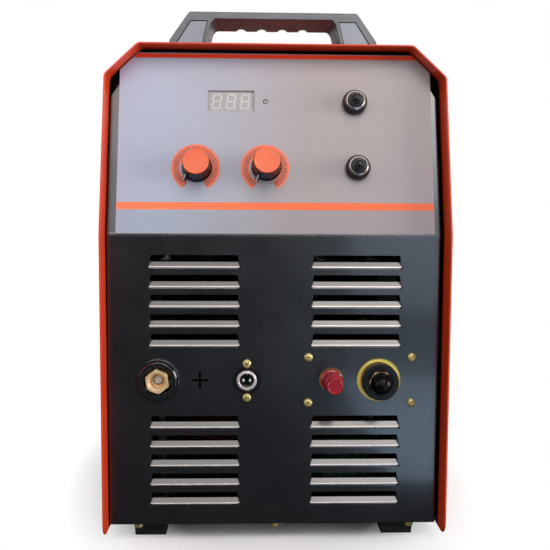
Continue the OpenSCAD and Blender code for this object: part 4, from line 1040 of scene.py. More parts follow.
SATIN_NICKEL = Machined("satin_nickel", (216, 208, 205), (198, 190, 187), (0.34, 0.44), 120.0, 2000.0,
                        0.00002, metal=0.6)
RING_NICKEL = Machined("ring_nickel", (206, 200, 198), (180, 175, 173), (0.2, 0.28), 120.0, 2000.0, 0.00002,
                       metal=1.0)
PIN_SILVER = Machined("pin_silver", (244, 244, 238), (226, 226, 220), (0.4, 0.5), 120.0, 2000.0, 0.00002,
                      metal=0.05, specular=0.8)
TORCH_BRASS = Machined("torch_brass", (244, 214, 166), (226, 190, 136), (0.24, 0.36), 90.0, 2000.0, 0.00002,
                       metal=0.5, axis=(TORCH_X, ROW_Z))
ZINC = Machined("white_zinc", (196, 198, 202), (172, 175, 180), (0.22, 0.36), 90.0, 1600.0, 0.00004,
                metal=1.0)
YELLOW_ZINC = Machined("yellow_zinc", (226, 208, 144), (196, 176, 112), (0.28, 0.42), 110.0, 1600.0, 0.00004,
                       metal=0.7)
# Painted shade: the heatsinks are made near-black metal to stand in for the shade inside the case.
HEATSINK_SHADE = Machined("heatsink_painted_shade", (34, 34, 36), (26, 26, 28), (0.4, 0.55), 30.0, 900.0, 0.00005,
                   metal=0.6, lines=300.0)
YELLOW_BOARD = Laminate("yellow_laminate", (255, 230, 120), (240, 208, 88), (0.25, 0.38), 50.0, depth=0.00005)
GREEN_BOARD = Board("circuit_board", (18, 92, 48), (14, 80, 42), (0.22, 0.32), 60.0, depth=0.00006)
BREAKER_GREY = Finish("breaker_grey", (214, 213, 208), (204, 203, 198), (0.36, 0.46), 30.0, 1600.0, 0.00004)
LEVER_BLACK = Finish("lever_black", (24, 24, 26), (18, 18, 20), (0.3, 0.4), 30.0, 1500.0, 0.00004)
CAN_FILM = Finish("capacitor_sleeve", (38, 42, 60), (32, 36, 52), (0.2, 0.3), 30.0, 1200.0, 0.00003, coat=0.4)
FERRITE = Finish("ferrite", (62, 62, 65), (50, 50, 53), (0.5, 0.66), 60.0, 700.0, 0.00012)
COPPER_COIL = Wound("coil_copper", (118, 62, 32), (54, 26, 14), (0.24, 0.34), 60.0, metal=0.8)
CHOKE_COIL = Wound("choke_copper", (112, 58, 30), (50, 24, 12), (0.24, 0.34), 60.0, metal=0.8, pitch=80.0)
VALVE_BODY = Finish("valve_cast", (84, 87, 92), (70, 73, 78), (0.4, 0.55), 40.0, 500.0, 0.00015, metal=0.4)

NODE_FINISHES: dict[str, Finish] = {
    "base_tray": PANEL_PAINT, "rear_panel": PANEL_PAINT, "face_plate": PLATE_FILM,
    "display_bezel": WINDOW_PANE, "display_segments": SEGMENT_LIGHT, "display_board": GREEN_BOARD,
    "pilot_lamp": LAMP_LENS, "current_pointer": POINTER_WHITE, "delay_pointer": POINTER_WHITE,
    "current_shaft": NICKEL, "delay_shaft": NICKEL, "potentiometers": ZINC, "toggle_bodies": BLACK_PLASTIC,
    "stud_nuts": BRASS, "control_insert": BLACK_PLASTIC, "terminal_board": YELLOW_BOARD,
    "pilot_stud": BRASS, "fan_frames": SATIN_BLACK, "fan_guards": ZINC,
    "left_rotor": SATIN_BLACK, "right_rotor": SATIN_BLACK, "breaker": BREAKER_GREY,
    "breaker_lever": LEVER_BLACK, "cable_gland": BLACK_PLASTIC, "rear_fittings": BRASS,
    # the shelf and the heatsinks take painted shade, near black
    "module_shelf": SHELF_SHADE, "heatsinks": HEATSINK_SHADE, "power_boards": GREEN_BOARD, "capacitors": CAN_FILM,
    "transformer_cores": FERRITE, "transformer_coils": COPPER_COIL, "output_chokes": CHOKE_COIL,
    "control_boards": GREEN_BOARD, "gas_valve": VALVE_BODY,
}


def dress_solids() -> None:
    """Gives every solid that stays in sight its finish."""
    for name, finish in NODE_FINISHES.items():
        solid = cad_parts[name]
        if not solid.material_slots:
            solid.data.materials.append(finish.material())
        for slot in solid.material_slots:
            slot.material = finish.material()
        LOG.info("solid %s: %s", name, finish.name)


# ---------- case ----------


@dataclass
class Cover:
    """Folded sheet: roof, two cut corners and two side walls with vent slots."""

    half_width: float = HALF_WIDTH
    nose: float = -22.0
    tail: float = 545.0
    hem: float = 12.5
    roof: float = ROOF_Z
    chamfer: float = CORNER_CUT
    fold: float = 2.4
    corner: float = 14.0
    vent_y: float = 240.0
    vent_w: float = 4.0
    vent_h: float = 90.0
    vent_pitch: float = 12.0
    vent_count: int = 16
    vent_z: float = 150.0
    vent_row_step: float = 140.0
    vent_reach: float = 8.0

    def vents(self) -> Piece:
        """Makes the tool that cuts both walls' slots, two rows of sixteen.

        Returns:
            The cutting tool.
        """
        reach = self.half_width + self.vent_reach
        low = (-reach, self.vent_y, self.vent_z)
        high = (reach, self.vent_y + self.vent_w, self.vent_z + self.vent_h)
        tool = Piece.box("vent_tool", low, high)
        with tool.editing():
            tool.pick(Kind.EDGE, lambda m, d: abs(d.x) > 0.9)
            bpy.ops.mesh.bevel(offset=self.vent_w * 0.49, segments=4, affect="EDGES")
        steps = {"use_relative_offset": False, "use_constant_offset": True}
        along, up = (0.0, self.vent_pitch, 0.0), (0.0, 0.0, self.vent_row_step)
        tool.modify("ARRAY", count=self.vent_count, constant_offset_displace=along, **steps)
        tool.modify("ARRAY", count=2, constant_offset_displace=up, **steps)
        # the slots' cut walls take the inner finish: painted shade behind the panel
        return tool.coat(COVER_PAINT, COVER_INSIDE_SHADE, worn=1)

    def build(self) -> None:
        """Folds, trims and slots the sheet."""
        side = self.half_width
        piece = Piece.box("cover_shell", (-side, self.nose, self.hem), (side, self.tail, self.roof))
        with piece.editing():
            piece.pick(Kind.EDGE, lambda m, d: abs(d.y) > 0.9 and m.z > self.roof - 1)
            bpy.ops.mesh.bevel(offset=self.chamfer, segments=1, affect="EDGES")
            piece.pick(Kind.FACE, lambda m, n: abs(n.y) > 0.9 or n.z < -0.9)
            bpy.ops.mesh.delete(type="FACE")
            piece.pick(Kind.EDGE, lambda m, d: abs(d.y) > 0.9 and m.z > self.hem + 1)
            bpy.ops.mesh.bevel(offset=self.fold, segments=4, affect="EDGES")
            bpy.ops.mesh.select_all(action="SELECT")
            bpy.ops.mesh.bisect(plane_co=(0.0, self.nose, BEND_Z), clear_outer=True,
                                plane_no=(0.0, -math.cos(LEAN), math.sin(LEAN)))
            piece.pick(Kind.VERT, lambda m, n: near(m.z, self.hem)
                       and (near(m.y, self.nose) or near(m.y, self.tail)))
            bpy.ops.mesh.bevel(offset=self.corner, segments=8, affect="VERTICES")
        # the inner face takes the inner finish: paint ahead of the panel, painted shade behind it
        piece.coat(COVER_PAINT, COVER_INSIDE_SHADE).thicken(SHEET, 1)
        piece.cut(self.vents()).soften(0.4, 3, 60.0).smooth(35.0)
        piece.hand_in("case", Slot.COVER, COVER_PAINT, "cover")


@dataclass
class FrontPanel:
    """Folded front sheet: twenty pressed louvres below, a leaning part above."""

    half_width: float = 155.5
    hem: float = 17.0
    slope: float = 177.5
    flange: float = 15.0
    column: float = 76.0
    louvre_w: float = 85.0
    louvre_h: float = 11.7
    pitch: float = 18.5
    first_top: float = 48.7
    group_step: float = 152.3
    lip: float = 3.5
    rise: float = 5.3
    taper: float = 2.2
    margin: float = 2.0
    first_bend: float = 3.5
    second_bend: float = 7.4
    first_in: float = 0.4
    second_in: float = 1.25
    lip_round: float = 1.5
    in_group: int = 5
    groups: int = 2
    bend_round: float = 2.6
    fold_round: float = 1.8
    edge_from: float = 150.0
    left_shift: float = -1.8
    right_shift: float = -0.9
    cut_from: Point = (129.0, 177.5)
    cut_to: Point = (155.5, 131.0)
    row_openings: tuple[Point, ...] = ((15.3, WORK_X), (8.3, CONTROL_X), (11.4, PILOT_X), (20.8, TORCH_X))
    window_half: Point = (25.15, 13.3)
    lamp_r: float = 3.0
    knob_r: float = 5.1
    toggle_r: float = 6.3
    mark_x: float = -71.1
    mark_arm: float = 7.8
    mark_half: float = 1.0
    through: Point = (-4.0, 3.0)

    def louvre(self) -> Piece:
        """Presses one louvre into a small sheet, the lowest of the right column.

        Returns:
            The small sheet with its louvre.
        """
        half = self.louvre_w / 2
        left, right = self.column - half, self.column + half
        foot = self.first_top - self.louvre_h
        gap = (self.pitch - self.louvre_h) / 2
        piece = Piece.wall("front_panel_sheet", (left - self.margin, foot - gap),
                           (right + self.margin, self.first_top + gap))
        rows = (foot, foot + self.first_bend, foot + self.second_bend, self.first_top)
        lines = (left, left + self.taper, right - self.taper, right)
        # the second finish is a painted highlight for each louvre's lower bend
        piece.coat(PANEL_PAINT, BEND_HIGHLIGHT)
        with piece.editing():
            for x in lines:
                bpy.ops.mesh.select_all(action="SELECT")
                bpy.ops.mesh.bisect(plane_co=(x, 0.0, 0.0), plane_no=(1.0, 0.0, 0.0))
            for z in rows:
                bpy.ops.mesh.select_all(action="SELECT")
                bpy.ops.mesh.bisect(plane_co=(0.0, 0.0, z), plane_no=(0.0, 0.0, 1.0))
            for side, way in ((left, 1.0), (right, -1.0)):
                for z, shift in ((rows[1], self.first_in), (rows[2], self.second_in)):
                    piece.pick(Kind.VERT, lambda m, n: near(m.x, side) and near(m.z, z))
                    bpy.ops.transform.translate(value=(shift * way, 0.0, 0.0))
                top = side + self.taper * way
                low = side + self.second_in * way
                piece.pick(Kind.VERT, lambda m, n: (near(m.x, top) and near(m.z, rows[3]))
                           or (near(m.x, low) and near(m.z, rows[2])))
                bpy.ops.mesh.vert_connect()
            piece.pick(Kind.FACE, lambda m, n: self.in_opening(m, foot))
            bpy.ops.mesh.delete(type="FACE")
            piece.pick(Kind.EDGE, lambda m, d: near(m.z, foot) and abs(d.x) > 0.9
                       and left < m.x < right)
            piece.extrude((0.0, self.lip, self.rise))
            shrink = (half - self.taper) / half
            bpy.ops.transform.resize(value=(shrink, 1.0, 1.0), center_override=(self.column, 0.0, 0.0))
            for side, way in ((left, 1.0), (right, -1.0)):
                end = side + self.taper * way
                corners = ((side, 0.0, foot), (side + self.first_in * way, 0.0, rows[1]),
                           (side + self.second_in * way, 0.0, rows[2]), (end, self.lip, foot + self.rise))
                piece.pick(Kind.VERT, lambda m, n: any((m - Vector(c)).length < 0.06 for c in corners))
                bpy.ops.mesh.edge_face_add()
            piece.pick(Kind.EDGE, lambda m, d: near(m.z, foot) and near(m.y, 0.0) and abs(d.x) > 0.9
                       and left < m.x < right)
            bpy.ops.mesh.bevel(offset=self.lip_round, segments=5, affect="EDGES")
            # painted highlight: the lower bend's faces take the light metal finish
            piece.pick(Kind.FACE, lambda m, n: 0.3 < abs(n.z) < 0.5 and near(m.z, foot, 2.0))
            piece.obj.active_material_index = 1
            bpy.ops.object.material_slot_assign()
        return piece

    def in_opening(self, middle: Vector, foot: float) -> bool:
        """Tells whether a face's middle lies in the louvre's opening.

        Args:
            middle: the face's middle.
            foot: height of the louvre's foot.

        Returns:
            True inside the opening.
        """
        high = middle.z - foot
        if not 0 < high < self.louvre_h:
            return False
        side = self.louvre_w / 2 - abs(middle.x - self.column)
        if high < self.first_bend:
            return side > self.first_in / 2
        way_up = (high - self.first_bend) / (self.louvre_h - self.first_bend)
        return side > self.first_in + (self.taper - self.first_in) * way_up

    def spread(self, piece: Piece) -> None:
        """Repeats the louvre and draws the sheet out round the two groups.

        Args:
            piece: the sheet with one louvre.
        """
        steps = {"use_relative_offset": False, "use_constant_offset": True, "use_merge_vertices": True,
                 "merge_threshold": 0.01}
        for count, step in ((self.in_group, self.pitch), (self.groups, self.group_step)):
            piece.modify("ARRAY", count=count, constant_offset_displace=(0.0, 0.0, step), **steps)
        gap = (self.pitch - self.louvre_h) / 2
        bottom = self.first_top - self.louvre_h - gap
        middle = bottom + self.in_group * self.pitch
        top = middle + self.group_step
        left = self.column - self.louvre_w / 2 - self.margin
        right = self.column + self.louvre_w / 2 + self.margin
        along = Vector((0.0, math.sin(LEAN), math.cos(LEAN)))
        with piece.editing():
            piece.pick(Kind.EDGE, lambda m, d: near(m.z, middle) and abs(d.x) > 0.9)
            piece.extrude((0.0, 0.0, bottom + self.group_step - middle))
            piece.pick(Kind.EDGE, lambda m, d: near(m.z, bottom) and abs(d.x) > 0.9)
            piece.extrude((0.0, 0.0, self.hem - bottom))
            piece.pick(Kind.EDGE, lambda m, d: near(m.z, top) and abs(d.x) > 0.9)
            piece.extrude((0.0, 0.0, BEND_Z - top))
            piece.extrude(tuple(along * self.slope))
            bpy.ops.mesh.select_all(action="SELECT")
            bpy.ops.mesh.remove_doubles(threshold=0.01)
            piece.pick(Kind.EDGE, lambda m, d: near(m.x, left) and abs(d.x) < 0.1)
            piece.extrude((-left, 0.0, 0.0))
            piece.pick(Kind.EDGE, lambda m, d: near(m.x, right) and abs(d.x) < 0.1)
            piece.extrude((self.half_width - right, 0.0, 0.0))
            self.fold_flanges(piece, along)

    def fold_flanges(self, piece: Piece, along: Vector) -> None:
        """Folds the outer edges back and rounds the folds.

        Args:
            piece: the right half, in edit mode.
            along: direction up the slope.
        """
        out = Vector((0.0, math.cos(LEAN), -math.sin(LEAN)))
        peak = BEND_Z + along.z * self.slope
        piece.pick(Kind.EDGE, lambda m, d: near(m.x, self.half_width) and abs(d.x) < 0.1)
        piece.extrude((0.0, 0.0, 0.0))
        bpy.ops.transform.translate(value=(0.0, self.flange, 0.0))
        piece.pick(Kind.VERT, lambda m, n: m.z > BEND_Z + 1 and near(m.x, self.half_width)
                   and near(m.y, self.flange + (m.z - BEND_Z) * math.tan(LEAN), 0.2))
        bpy.ops.transform.translate(value=tuple(out * self.flange - Vector((0.0, self.flange, 0.0))))
        piece.pick(Kind.VERT, lambda m, n: near(m.z, BEND_Z) and near(m.y, self.flange)
                   and m.x > self.edge_from)
        bpy.ops.transform.translate(value=(0.0, 0.0, -self.flange * math.tan(LEAN / 2)))
        piece.pick(Kind.EDGE, lambda m, d: near(m.z, self.hem) and near(m.y, 0.0) and abs(d.x) > 0.9)
        piece.extrude((0.0, self.flange, 0.0))
        piece.pick(Kind.EDGE, lambda m, d: near(m.z, peak) and abs(d.x) > 0.9)
        piece.extrude(tuple(out * self.flange))
        bpy.ops.mesh.select_all(action="SELECT")
        bpy.ops.mesh.remove_doubles(threshold=0.02)
        (from_x, from_s), (to_x, to_s) = self.cut_from, self.cut_to
        side = Vector((from_s - to_s, 0.0, 0.0)) + along * (to_x - from_x)
        start = Vector((from_x, 0.0, BEND_Z)) + along * from_s
        bpy.ops.mesh.select_all(action="SELECT")
        bpy.ops.mesh.bisect(plane_co=start, plane_no=side.normalized(), clear_outer=True)
        piece.pick(Kind.EDGE, lambda m, d: near(m.z, BEND_Z) and near(m.y, 0.0) and abs(d.x) > 0.9)
        bpy.ops.mesh.bevel(offset=self.bend_round, segments=4, affect="EDGES")
        piece.pick(Kind.EDGE, lambda m, d: self.on_fold(m, d, peak))
        bpy.ops.mesh.bevel(offset=self.fold_round, segments=4, affect="EDGES")

    def on_fold(self, middle: Vector, way: Vector, peak: float) -> bool:
        """Tells whether an edge lies on one of the outer folds.

        Args:
            middle: the edge's middle.
            way: its direction.
            peak: height of the top fold.

        Returns:
            True on a fold.
        """
        face_y = max(0.0, middle.z - BEND_Z) * math.tan(LEAN)
        if not near(middle.y, face_y, 0.4):
            return False
        upright = near(middle.x, self.half_width) and abs(way.x) < 0.1 and middle.z > self.hem + 0.5
        level = abs(way.x) > 0.9 and (near(middle.z, self.hem) or near(middle.z, peak))
        return upright or level

    def holes(self) -> list[Piece]:
        """Makes the tools for the openings that show or that a part passes through.

        Returns:
            The tools.
        """
        low, high = self.through
        tools = [Piece.drum("tool", radius, low, high, 96).move(on_front(x, ROW_Z))
                 for radius, x in self.row_openings]
        arm, half = self.mark_arm, self.mark_half
        mark = Piece.box("tool", (-arm, -half, low), (arm, half, high))
        mark.fuse(Piece.box("tool", (-half, -arm, low), (half, arm, high)))
        tools.append(mark.move(on_front(self.mark_x, ROW_Z)))
        w, h = self.window_half
        tools.append(Piece.box("tool", (-w, -h, low), (w, h, high)).move(on_slope(*WINDOW_PLACE)))
        drilled = ((self.lamp_r, LAMP_PLACE),
                   (self.knob_r, (CURRENT_X, KNOB_S)), (self.knob_r, (DELAY_X, KNOB_S)),
                   (self.toggle_r, MODE_PLACE), (self.toggle_r, GAS_PLACE))
        tools += [Piece.drum("tool", radius, low, high).move(on_slope(*place)) for radius, place in drilled]
        return tools

    def build(self) -> None:
        """Presses, folds and drills the sheet."""
        piece = self.louvre()
        self.spread(piece)
        piece.modify("MIRROR", use_axis=(True, False, False), merge_threshold=0.01)
        with piece.editing():
            bpy.ops.mesh.select_all(action="SELECT")
            bpy.ops.mesh.normals_make_consistent(inside=False)
            for edge, shift in ((-self.edge_from, self.left_shift), (self.edge_from, self.right_shift)):
                piece.pick(Kind.VERT, lambda m, n: m.x < edge < 0 or m.x > edge > 0)
                bpy.ops.transform.translate(value=(shift, 0.0, 0.0))
        piece.thicken(SHEET).cut(*self.holes()).soften(0.16, 2, 50.0).smooth(27.0, 20.0)
        piece.hand_in("case", Slot.PANEL, PANEL_PAINT, "front_panel")


@dataclass
class Feet:
    """Four moulded feet with sunk sides and a screw recess below."""

    height: float = 18.5
    width: float = 32.0
    length: float = 40.0
    sunk_from: float = 4.0
    sunk_to: float = 14.5
    recess_r: float = 6.0
    recess_top: float = 8.0

    def build(self) -> None:
        """Moulds one foot and sets it at the four places."""
        half, deep = self.width / 2, self.length / 2
        piece = Piece.box("feet_moulded", (-half, -deep, 0.0), (half, deep, self.height))
        with piece.editing():
            piece.pick(Kind.VERT, lambda m, n: near(m.z, 0.0))
            bpy.ops.transform.resize(value=(0.94, 0.95, 1.0), center_override=(0.0, 0.0, 0.0))
            for z in (self.sunk_from, self.sunk_to):
                bpy.ops.mesh.select_all(action="SELECT")
                bpy.ops.mesh.bisect(plane_co=(0.0, 0.0, z), plane_no=(0.0, 0.0, 1.0))
            piece.pick(Kind.FACE, lambda m, n: self.sunk_from < m.z < self.sunk_to and abs(n.z) < 0.5)
            bpy.ops.mesh.inset(thickness=1.6, depth=-0.7, use_individual=True)
        piece.cut(Piece.drum("tool", self.recess_r, -1.0, self.recess_top)).soften(0.8, 3, 40.0).smooth()
        piece = piece.at_seats([on_case(x, y) for x in (-FOOT_X, FOOT_X) for y in FOOT_ROWS])
        piece.hand_in("case", Slot.RUBBER, FOOT_RUBBER, "feet")


@dataclass
class Screw:
    """Cross-recessed pan head screw, with washers where it has them."""

    head_r: float = 4.0
    head_h: float = 3.0
    shank_r: float = 2.0
    length: float = 8.0
    washers: bool = False

    def make(self, name: str) -> Piece:
        """Turns the screw and sinks its cross recess.

        Args:
            name: the piece's name.

        Returns:
            The finished screw.
        """
        lift = 2.0 if self.washers else 0.0
        r, h, low = self.head_r, self.head_h, -self.length
        profile = [(self.shank_r * 0.7, low), (self.shank_r, low + 0.6), (self.shank_r, lift), (r, lift),
                   (r, lift + h * 0.42), (r * 0.95, lift + h * 0.62), (r * 0.82, lift + h * 0.82),
                   (r * 0.6, lift + h * 0.95), (r * 0.3, lift + h)]
        piece = Piece.turned(name, profile, 32)
        for turn in (0.0, 90.0):
            slot = Piece.box("tool", (-r * 0.6, -r * 0.15, lift + h * 0.3), (r * 0.6, r * 0.15, lift + h + 1))
            piece.cut(slot.move(turned_about_z(turn)))
        if self.washers:
            flat = [(self.shank_r, 0.0), (r + 0.6, 0.0), (r + 0.6, 0.9), (self.shank_r, 0.9)]
            split = [(self.shank_r, 0.95), (r - 0.3, 0.95), (r - 0.3, 2.0), (self.shank_r, 2.0)]
            piece.join(Piece.turned("flat", flat, 32, True), Piece.turned("split", split, 32, True))
        return piece.soften(0.12, 2, 40.0).smooth()


@dataclass
class Screws:
    """All the outer screws, grouped as they are plated."""

    foot_z: float = 8.0
    cover_rows: tuple[float, ...] = (40.0, 212.5, 332.5, 485.0)
    cover_z: float = 37.5
    handle_x: float = 95.0
    handle_steps: Point = (15.0, 45.0)
    panel_z: float = 17.0
    panel_columns: tuple[float, ...] = (-130.5, 0.0, 130.5)
    panel_rows: Point = (7.0, 518.0)
    board: Point = (80.0, ROW_Z)
    board_pitch: Point = (49.0, 21.75)

    def build(self) -> None:
        """Makes the zinc screws, the washered panel screws and the yellow front screws."""
        down = Matrix.Rotation(math.pi, 4, "X")
        seats = [on_case(x, y, self.foot_z) @ down for x in (-FOOT_X, FOOT_X) for y in FOOT_ROWS]
        for side in (-1.0, 1.0):
            turn = Matrix.Rotation(side * math.pi / 2, 4, "Y")
            seats += [on_case(side * HALF_WIDTH, y, self.cover_z) @ turn for y in self.cover_rows]
        for y in HANDLE_ROWS:
            seats += [on_case(x, y + step, ROOF_Z - SHEET) @ down for x in (-self.handle_x, self.handle_x)
                      for step in self.handle_steps]
        piece = Screw(length=8.0).make("case_screw_set").at_seats(seats)
        piece.hand_in("case", Slot.ZINC, ZINC, "case_screws")
        seats = [on_case(x, y, self.panel_z) @ down for x in self.panel_columns for y in self.panel_rows]
        piece = Screw(head_r=4.25, head_h=3.4, washers=True).make("panel_screw_set").at_seats(seats)
        piece.hand_in("case", Slot.YELLOW_ZINC, YELLOW_ZINC, "panel_screws")
        seats = [on_front(CONTROL_X, ROW_Z + s) @ on_case(z=LUG_PLATE) @ turned_about_z(20.0 + s)
                 for s in (-LUG_PITCH / 2, LUG_PITCH / 2)]
        seats += [on_front(self.board[0] + sx * self.board_pitch[0], ROW_Z + sz * self.board_pitch[1])
                  @ turned_about_z(25.0 * sx + 40.0 * sz) for sx in (-1, 1) for sz in (-1, 1)]
        piece = Screw(head_r=4.1, length=9.0).make("front_screw_set").at_seats(seats)
        piece.hand_in("case", Slot.YELLOW_ZINC, YELLOW_ZINC, "front_screws")


@dataclass
class Handles:
    """Two moulded carrying handles with finger grooves and trapezoid insets."""

    width: float = 222.0
    grip: float = 178.0
    height: float = 56.0
    depth: float = 60.0
    grip_t: float = 8.0
    foot: float = 25.0
    groove_pitch: float = 23.4
    groove_r: float = 7.6
    groove_d: float = 2.6

    def inset(self, grow: float) -> list[Point]:
        """Outline of the right leg's inset, drawn in by a margin.

        Args:
            grow: the margin.

        Returns:
            The outline's corners.
        """
        half, grip = self.width / 2, self.grip / 2
        high, outer = self.height - 10 - grow, half - 7.5 - grow
        return [(grip - 19 + grow, high), (grip - 0.5 - grow * 0.6, high),
                (outer, self.foot - 2 - grow * 0.4), (outer, 3.0), (grip - 9 + grow, 3.0)]

    def build(self) -> None:
        """Moulds one handle and sets both on the roof."""
        w, g, top = self.width / 2, self.grip / 2, self.height
        flat = Matrix.Rotation(math.pi / 2, 4, "X")
        corners = [(-w, 0), (-w, self.foot), (-g, top), (g, top), (w, self.foot), (w, 0)]
        body = Piece.outline("handle_pair", corners, -self.depth, 0.0).move(flat)
        # the second finish is painted shade: the finger hole, grooves, inset trenches and rounded edges take
        # it
        finishes = (HANDLE_GREY, HANDLE_SHADE, HANDLE_PLATE)
        body.coat(*finishes)
        with body.editing():
            body.pick(Kind.EDGE, lambda m, d: near(m.z, top) and abs(d.x) > 0.9)
            bpy.ops.mesh.bevel(offset=5.0, segments=5, affect="EDGES")
        a, b, under = g - 26, g - 10, top - self.grip_t
        hole = Piece.outline("tool", [(-b, -1), (-a - 4, under - 5), (-a - 1.5, under - 1.4), (-a + 1, under),
                                      (a - 1, under), (a + 1.5, under - 1.4), (a + 4, under - 5), (b, -1)],
                             -self.depth - 1, 1.0)
        body.cut(hole.coat(*finishes, worn=1).move(flat))
        for k in (-1.5, -0.5, 0.5, 1.5):
            seat = on_case(k * self.groove_pitch, self.depth + 1, under - self.groove_r + self.groove_d)
            groove = Piece.drum("tool", self.groove_r, 0.0, self.depth / 2 + 8, 40).coat(*finishes, worn=1)
            body.cut(groove.move(seat @ Matrix.Rotation(math.radians(96.5), 4, "X")))
        # the rounded edges take the painted shade finish
        body.soften(0.9, 3, 28.0, 1)
        for y in (-1.0, self.depth - 1.9):
            for side in (1.0, -1.0):
                trench = Piece.outline("tool", [(x * side, z) for x, z in self.inset(0.0)], -y - 2.9, -y)
                raised = [(x * side, z) for x, z in self.inset(1.0)]
                plateau = Piece.outline("tool", raised, -y - 3.4, -y + 0.5)
                body.cut(trench.cut(plateau).coat(*finishes, worn=1).move(flat))
                pocket = Piece.outline("tool", [(x * side, z) for x, z in self.inset(0.9)], 0.0, 1.2)
                pocket.coat(*finishes, worn=2)
                body.cut(pocket.move(on_case(0.0, 0.6 if y < 0 else self.depth + 0.6) @ flat))
        body.smooth(34.0)
        piece = body.at_seats([on_case(0.0, y, ROOF_Z) for y in HANDLE_ROWS])
        piece.hand_in("case", Slot.HANDLE, HANDLE_GREY, "handles")


# ---------- controls ----------


@dataclass
class Print:
    """Printed marks on the face plate, each a thin layer of ink."""

    half_plate: float = 148.5
    layer: float = 0.06
    sink: float = 0.03
    band: Point = (0.9, 23.0)
    stripe_top: float = 30.0
    strip_rows: Point = (171.5, 175.8)
    strip_gap: float = 0.5
    fold_back: float = 2.8
    dials: tuple[tuple[str, float], ...] = (("current", -75.4), ("delay", -10.3))
    ring_r: Point = (14.8, 22.9)
    ring_gap: float = 29.0
    ring_corner: float = 1.5
    line_in: float = 14.4
    scale_r: Point = (16.0, 20.9)
    scale_gap: float = 33.0
    divisions: int = 47

    def strip(self, name: str, points: Sequence[Point], finish: Finish) -> None:
        """Prints a flat outline given in plate coordinates.

        Args:
            name: the mark's name.
            points: the outline's corners.
            finish: the ink.
        """
        piece = Piece.outline(name, points, PLATE - self.sink, PLATE + self.layer)
        piece.move(on_slope(0.0, 0.0)).hand_in("case", Slot.FILM, finish)

    def ring(self, name: str, inner: float, outer: float, gap: float, seat: Matrix, finish: Finish,
             rounding: float = 0.0) -> None:
        """Prints a ring with a gap at its foot.

        Args:
            name: the mark's name.
            inner: inside radius.
            outer: outside radius.
            gap: half of the gap, in degrees.
            seat: where the ring's middle goes.
            finish: the ink.
            rounding: radius of the ends' corners.
        """
        deselect()
        bpy.ops.mesh.primitive_circle_add(vertices=144, radius=inner, fill_type="NOTHING")
        piece = Piece(name).apply()
        with piece.editing():
            bpy.ops.mesh.select_all(action="SELECT")
            bpy.ops.mesh.extrude_region_move()
            ratio = outer / inner
            bpy.ops.transform.resize(value=(ratio, ratio, 1.0), center_override=(0.0, 0.0, 0.0))
            piece.pick(Kind.FACE, lambda m, n: m.y < 0 and abs(math.degrees(math.atan2(m.x, -m.y))) < gap)
            bpy.ops.mesh.delete(type="FACE")
            bpy.ops.mesh.select_all(action="SELECT")
            piece.extrude((0.0, 0.0, self.layer + self.sink))
            bpy.ops.mesh.select_all(action="SELECT")
            bpy.ops.transform.translate(value=(0.0, 0.0, PLATE - self.sink))
            if rounding:
                piece.pick(Kind.EDGE, lambda m, d: abs(d.z) > 0.9 and self.at_end(m, gap, inner, outer))
                bpy.ops.mesh.bevel(offset=rounding, segments=4, affect="EDGES")
        piece.face_out().move(seat).hand_in("case", Slot.FILM, finish)

    @staticmethod
    def at_end(middle: Vector, gap: float, inner: float, outer: float) -> bool:
        """Tells whether an upright edge is one of the ring's outer end corners."""
        angle = abs(math.degrees(math.atan2(middle.x, -middle.y)))
        return near(angle, gap, 1.6) and math.hypot(middle.x, middle.y) > (inner + outer) / 2

    def ticks(self, name: str, inner: float, outer: float, gap: float, count: int, seat: Matrix) -> None:
        """Prints the scale's short lines by stepping one round the dial.

        Args:
            name: the mark's name.
            inner: inner end of the lines.
            outer: outer end of the lines.
            gap: half of the gap, in degrees.
            count: number of divisions.
            seat: where the dial's middle goes.
        """
        piece = Piece.box(name, (-0.3, inner, PLATE), (0.3, outer, PLATE + 2 * self.layer))
        with piece.editing():
            piece.pick(Kind.FACE, lambda m, n: n.y > 0.9)
            bpy.ops.transform.resize(value=(1.3, 1.0, 1.0), center_override=(0.0, outer, 0.0))
        step = (360 - 2 * gap) / count
        piece = piece.at_seats([seat @ turned_about_z(180 + gap + k * step) for k in range(count + 1)])
        piece.hand_in("case", Slot.FILM, TICK_INK)

    def build(self) -> None:
        """Prints the band, the stripe, the top strip, both dials and the painted shadow round the display
        window.
        """
        w = self.half_plate - 0.4
        foot, head = self.band
        self.strip("print_lower_band", [(-w, foot), (w, foot), (w, head), (-w, head)], BAND_INK)
        end = self.stripe_top
        self.strip("print_stripe", [(-w, head), (w, head), (w, end), (-w, end)], ORANGE_INK)
        k = math.cos(LEAN)
        reach = HALF_WIDTH + ROOF_Z - CORNER_CUT - self.fold_back * math.sqrt(2) - BEND_Z
        low, top = self.strip_rows
        edge_top, edge_low = reach - top * k - self.strip_gap, reach - low * k - self.strip_gap
        corners = [(-edge_low, low), (edge_low, low), (edge_top, top), (-edge_top, top)]
        self.strip("print_top_strip", corners, TOP_INK)
        inner, outer = self.ring_r
        for name, x in self.dials:
            seat = on_slope(x, KNOB_S)
            gap, corner = self.ring_gap, self.ring_corner
            self.ring("print_" + name + "_ring", inner, outer, gap, seat, DIAL_INK, corner)
            self.ring("print_" + name + "_line", self.line_in, inner, gap, seat, WHITE_INK)
            self.ticks("print_" + name + "_scale", *self.scale_r, self.scale_gap, self.divisions, seat)
        self.window_painted_shadow()

    def window_painted_shadow(self) -> None:
        """Prints a grey edge along the display window's left, top and right sides: painted shadow of the
        window's recessed edges.
        """
        piece = Piece.box("print_window_painted_shadow", (-22.2, -10.9, PLATE - self.sink),
                          (22.2, 11.0, PLATE + self.layer))
        piece.cut(Piece.box("tool", (-21.5, -13.0, -1.0), (21.5, 10.3, 3.0)))
        piece.move(on_slope(*WINDOW_PLACE)).hand_in("case", Slot.FILM, WINDOW_SHADOW_INK)


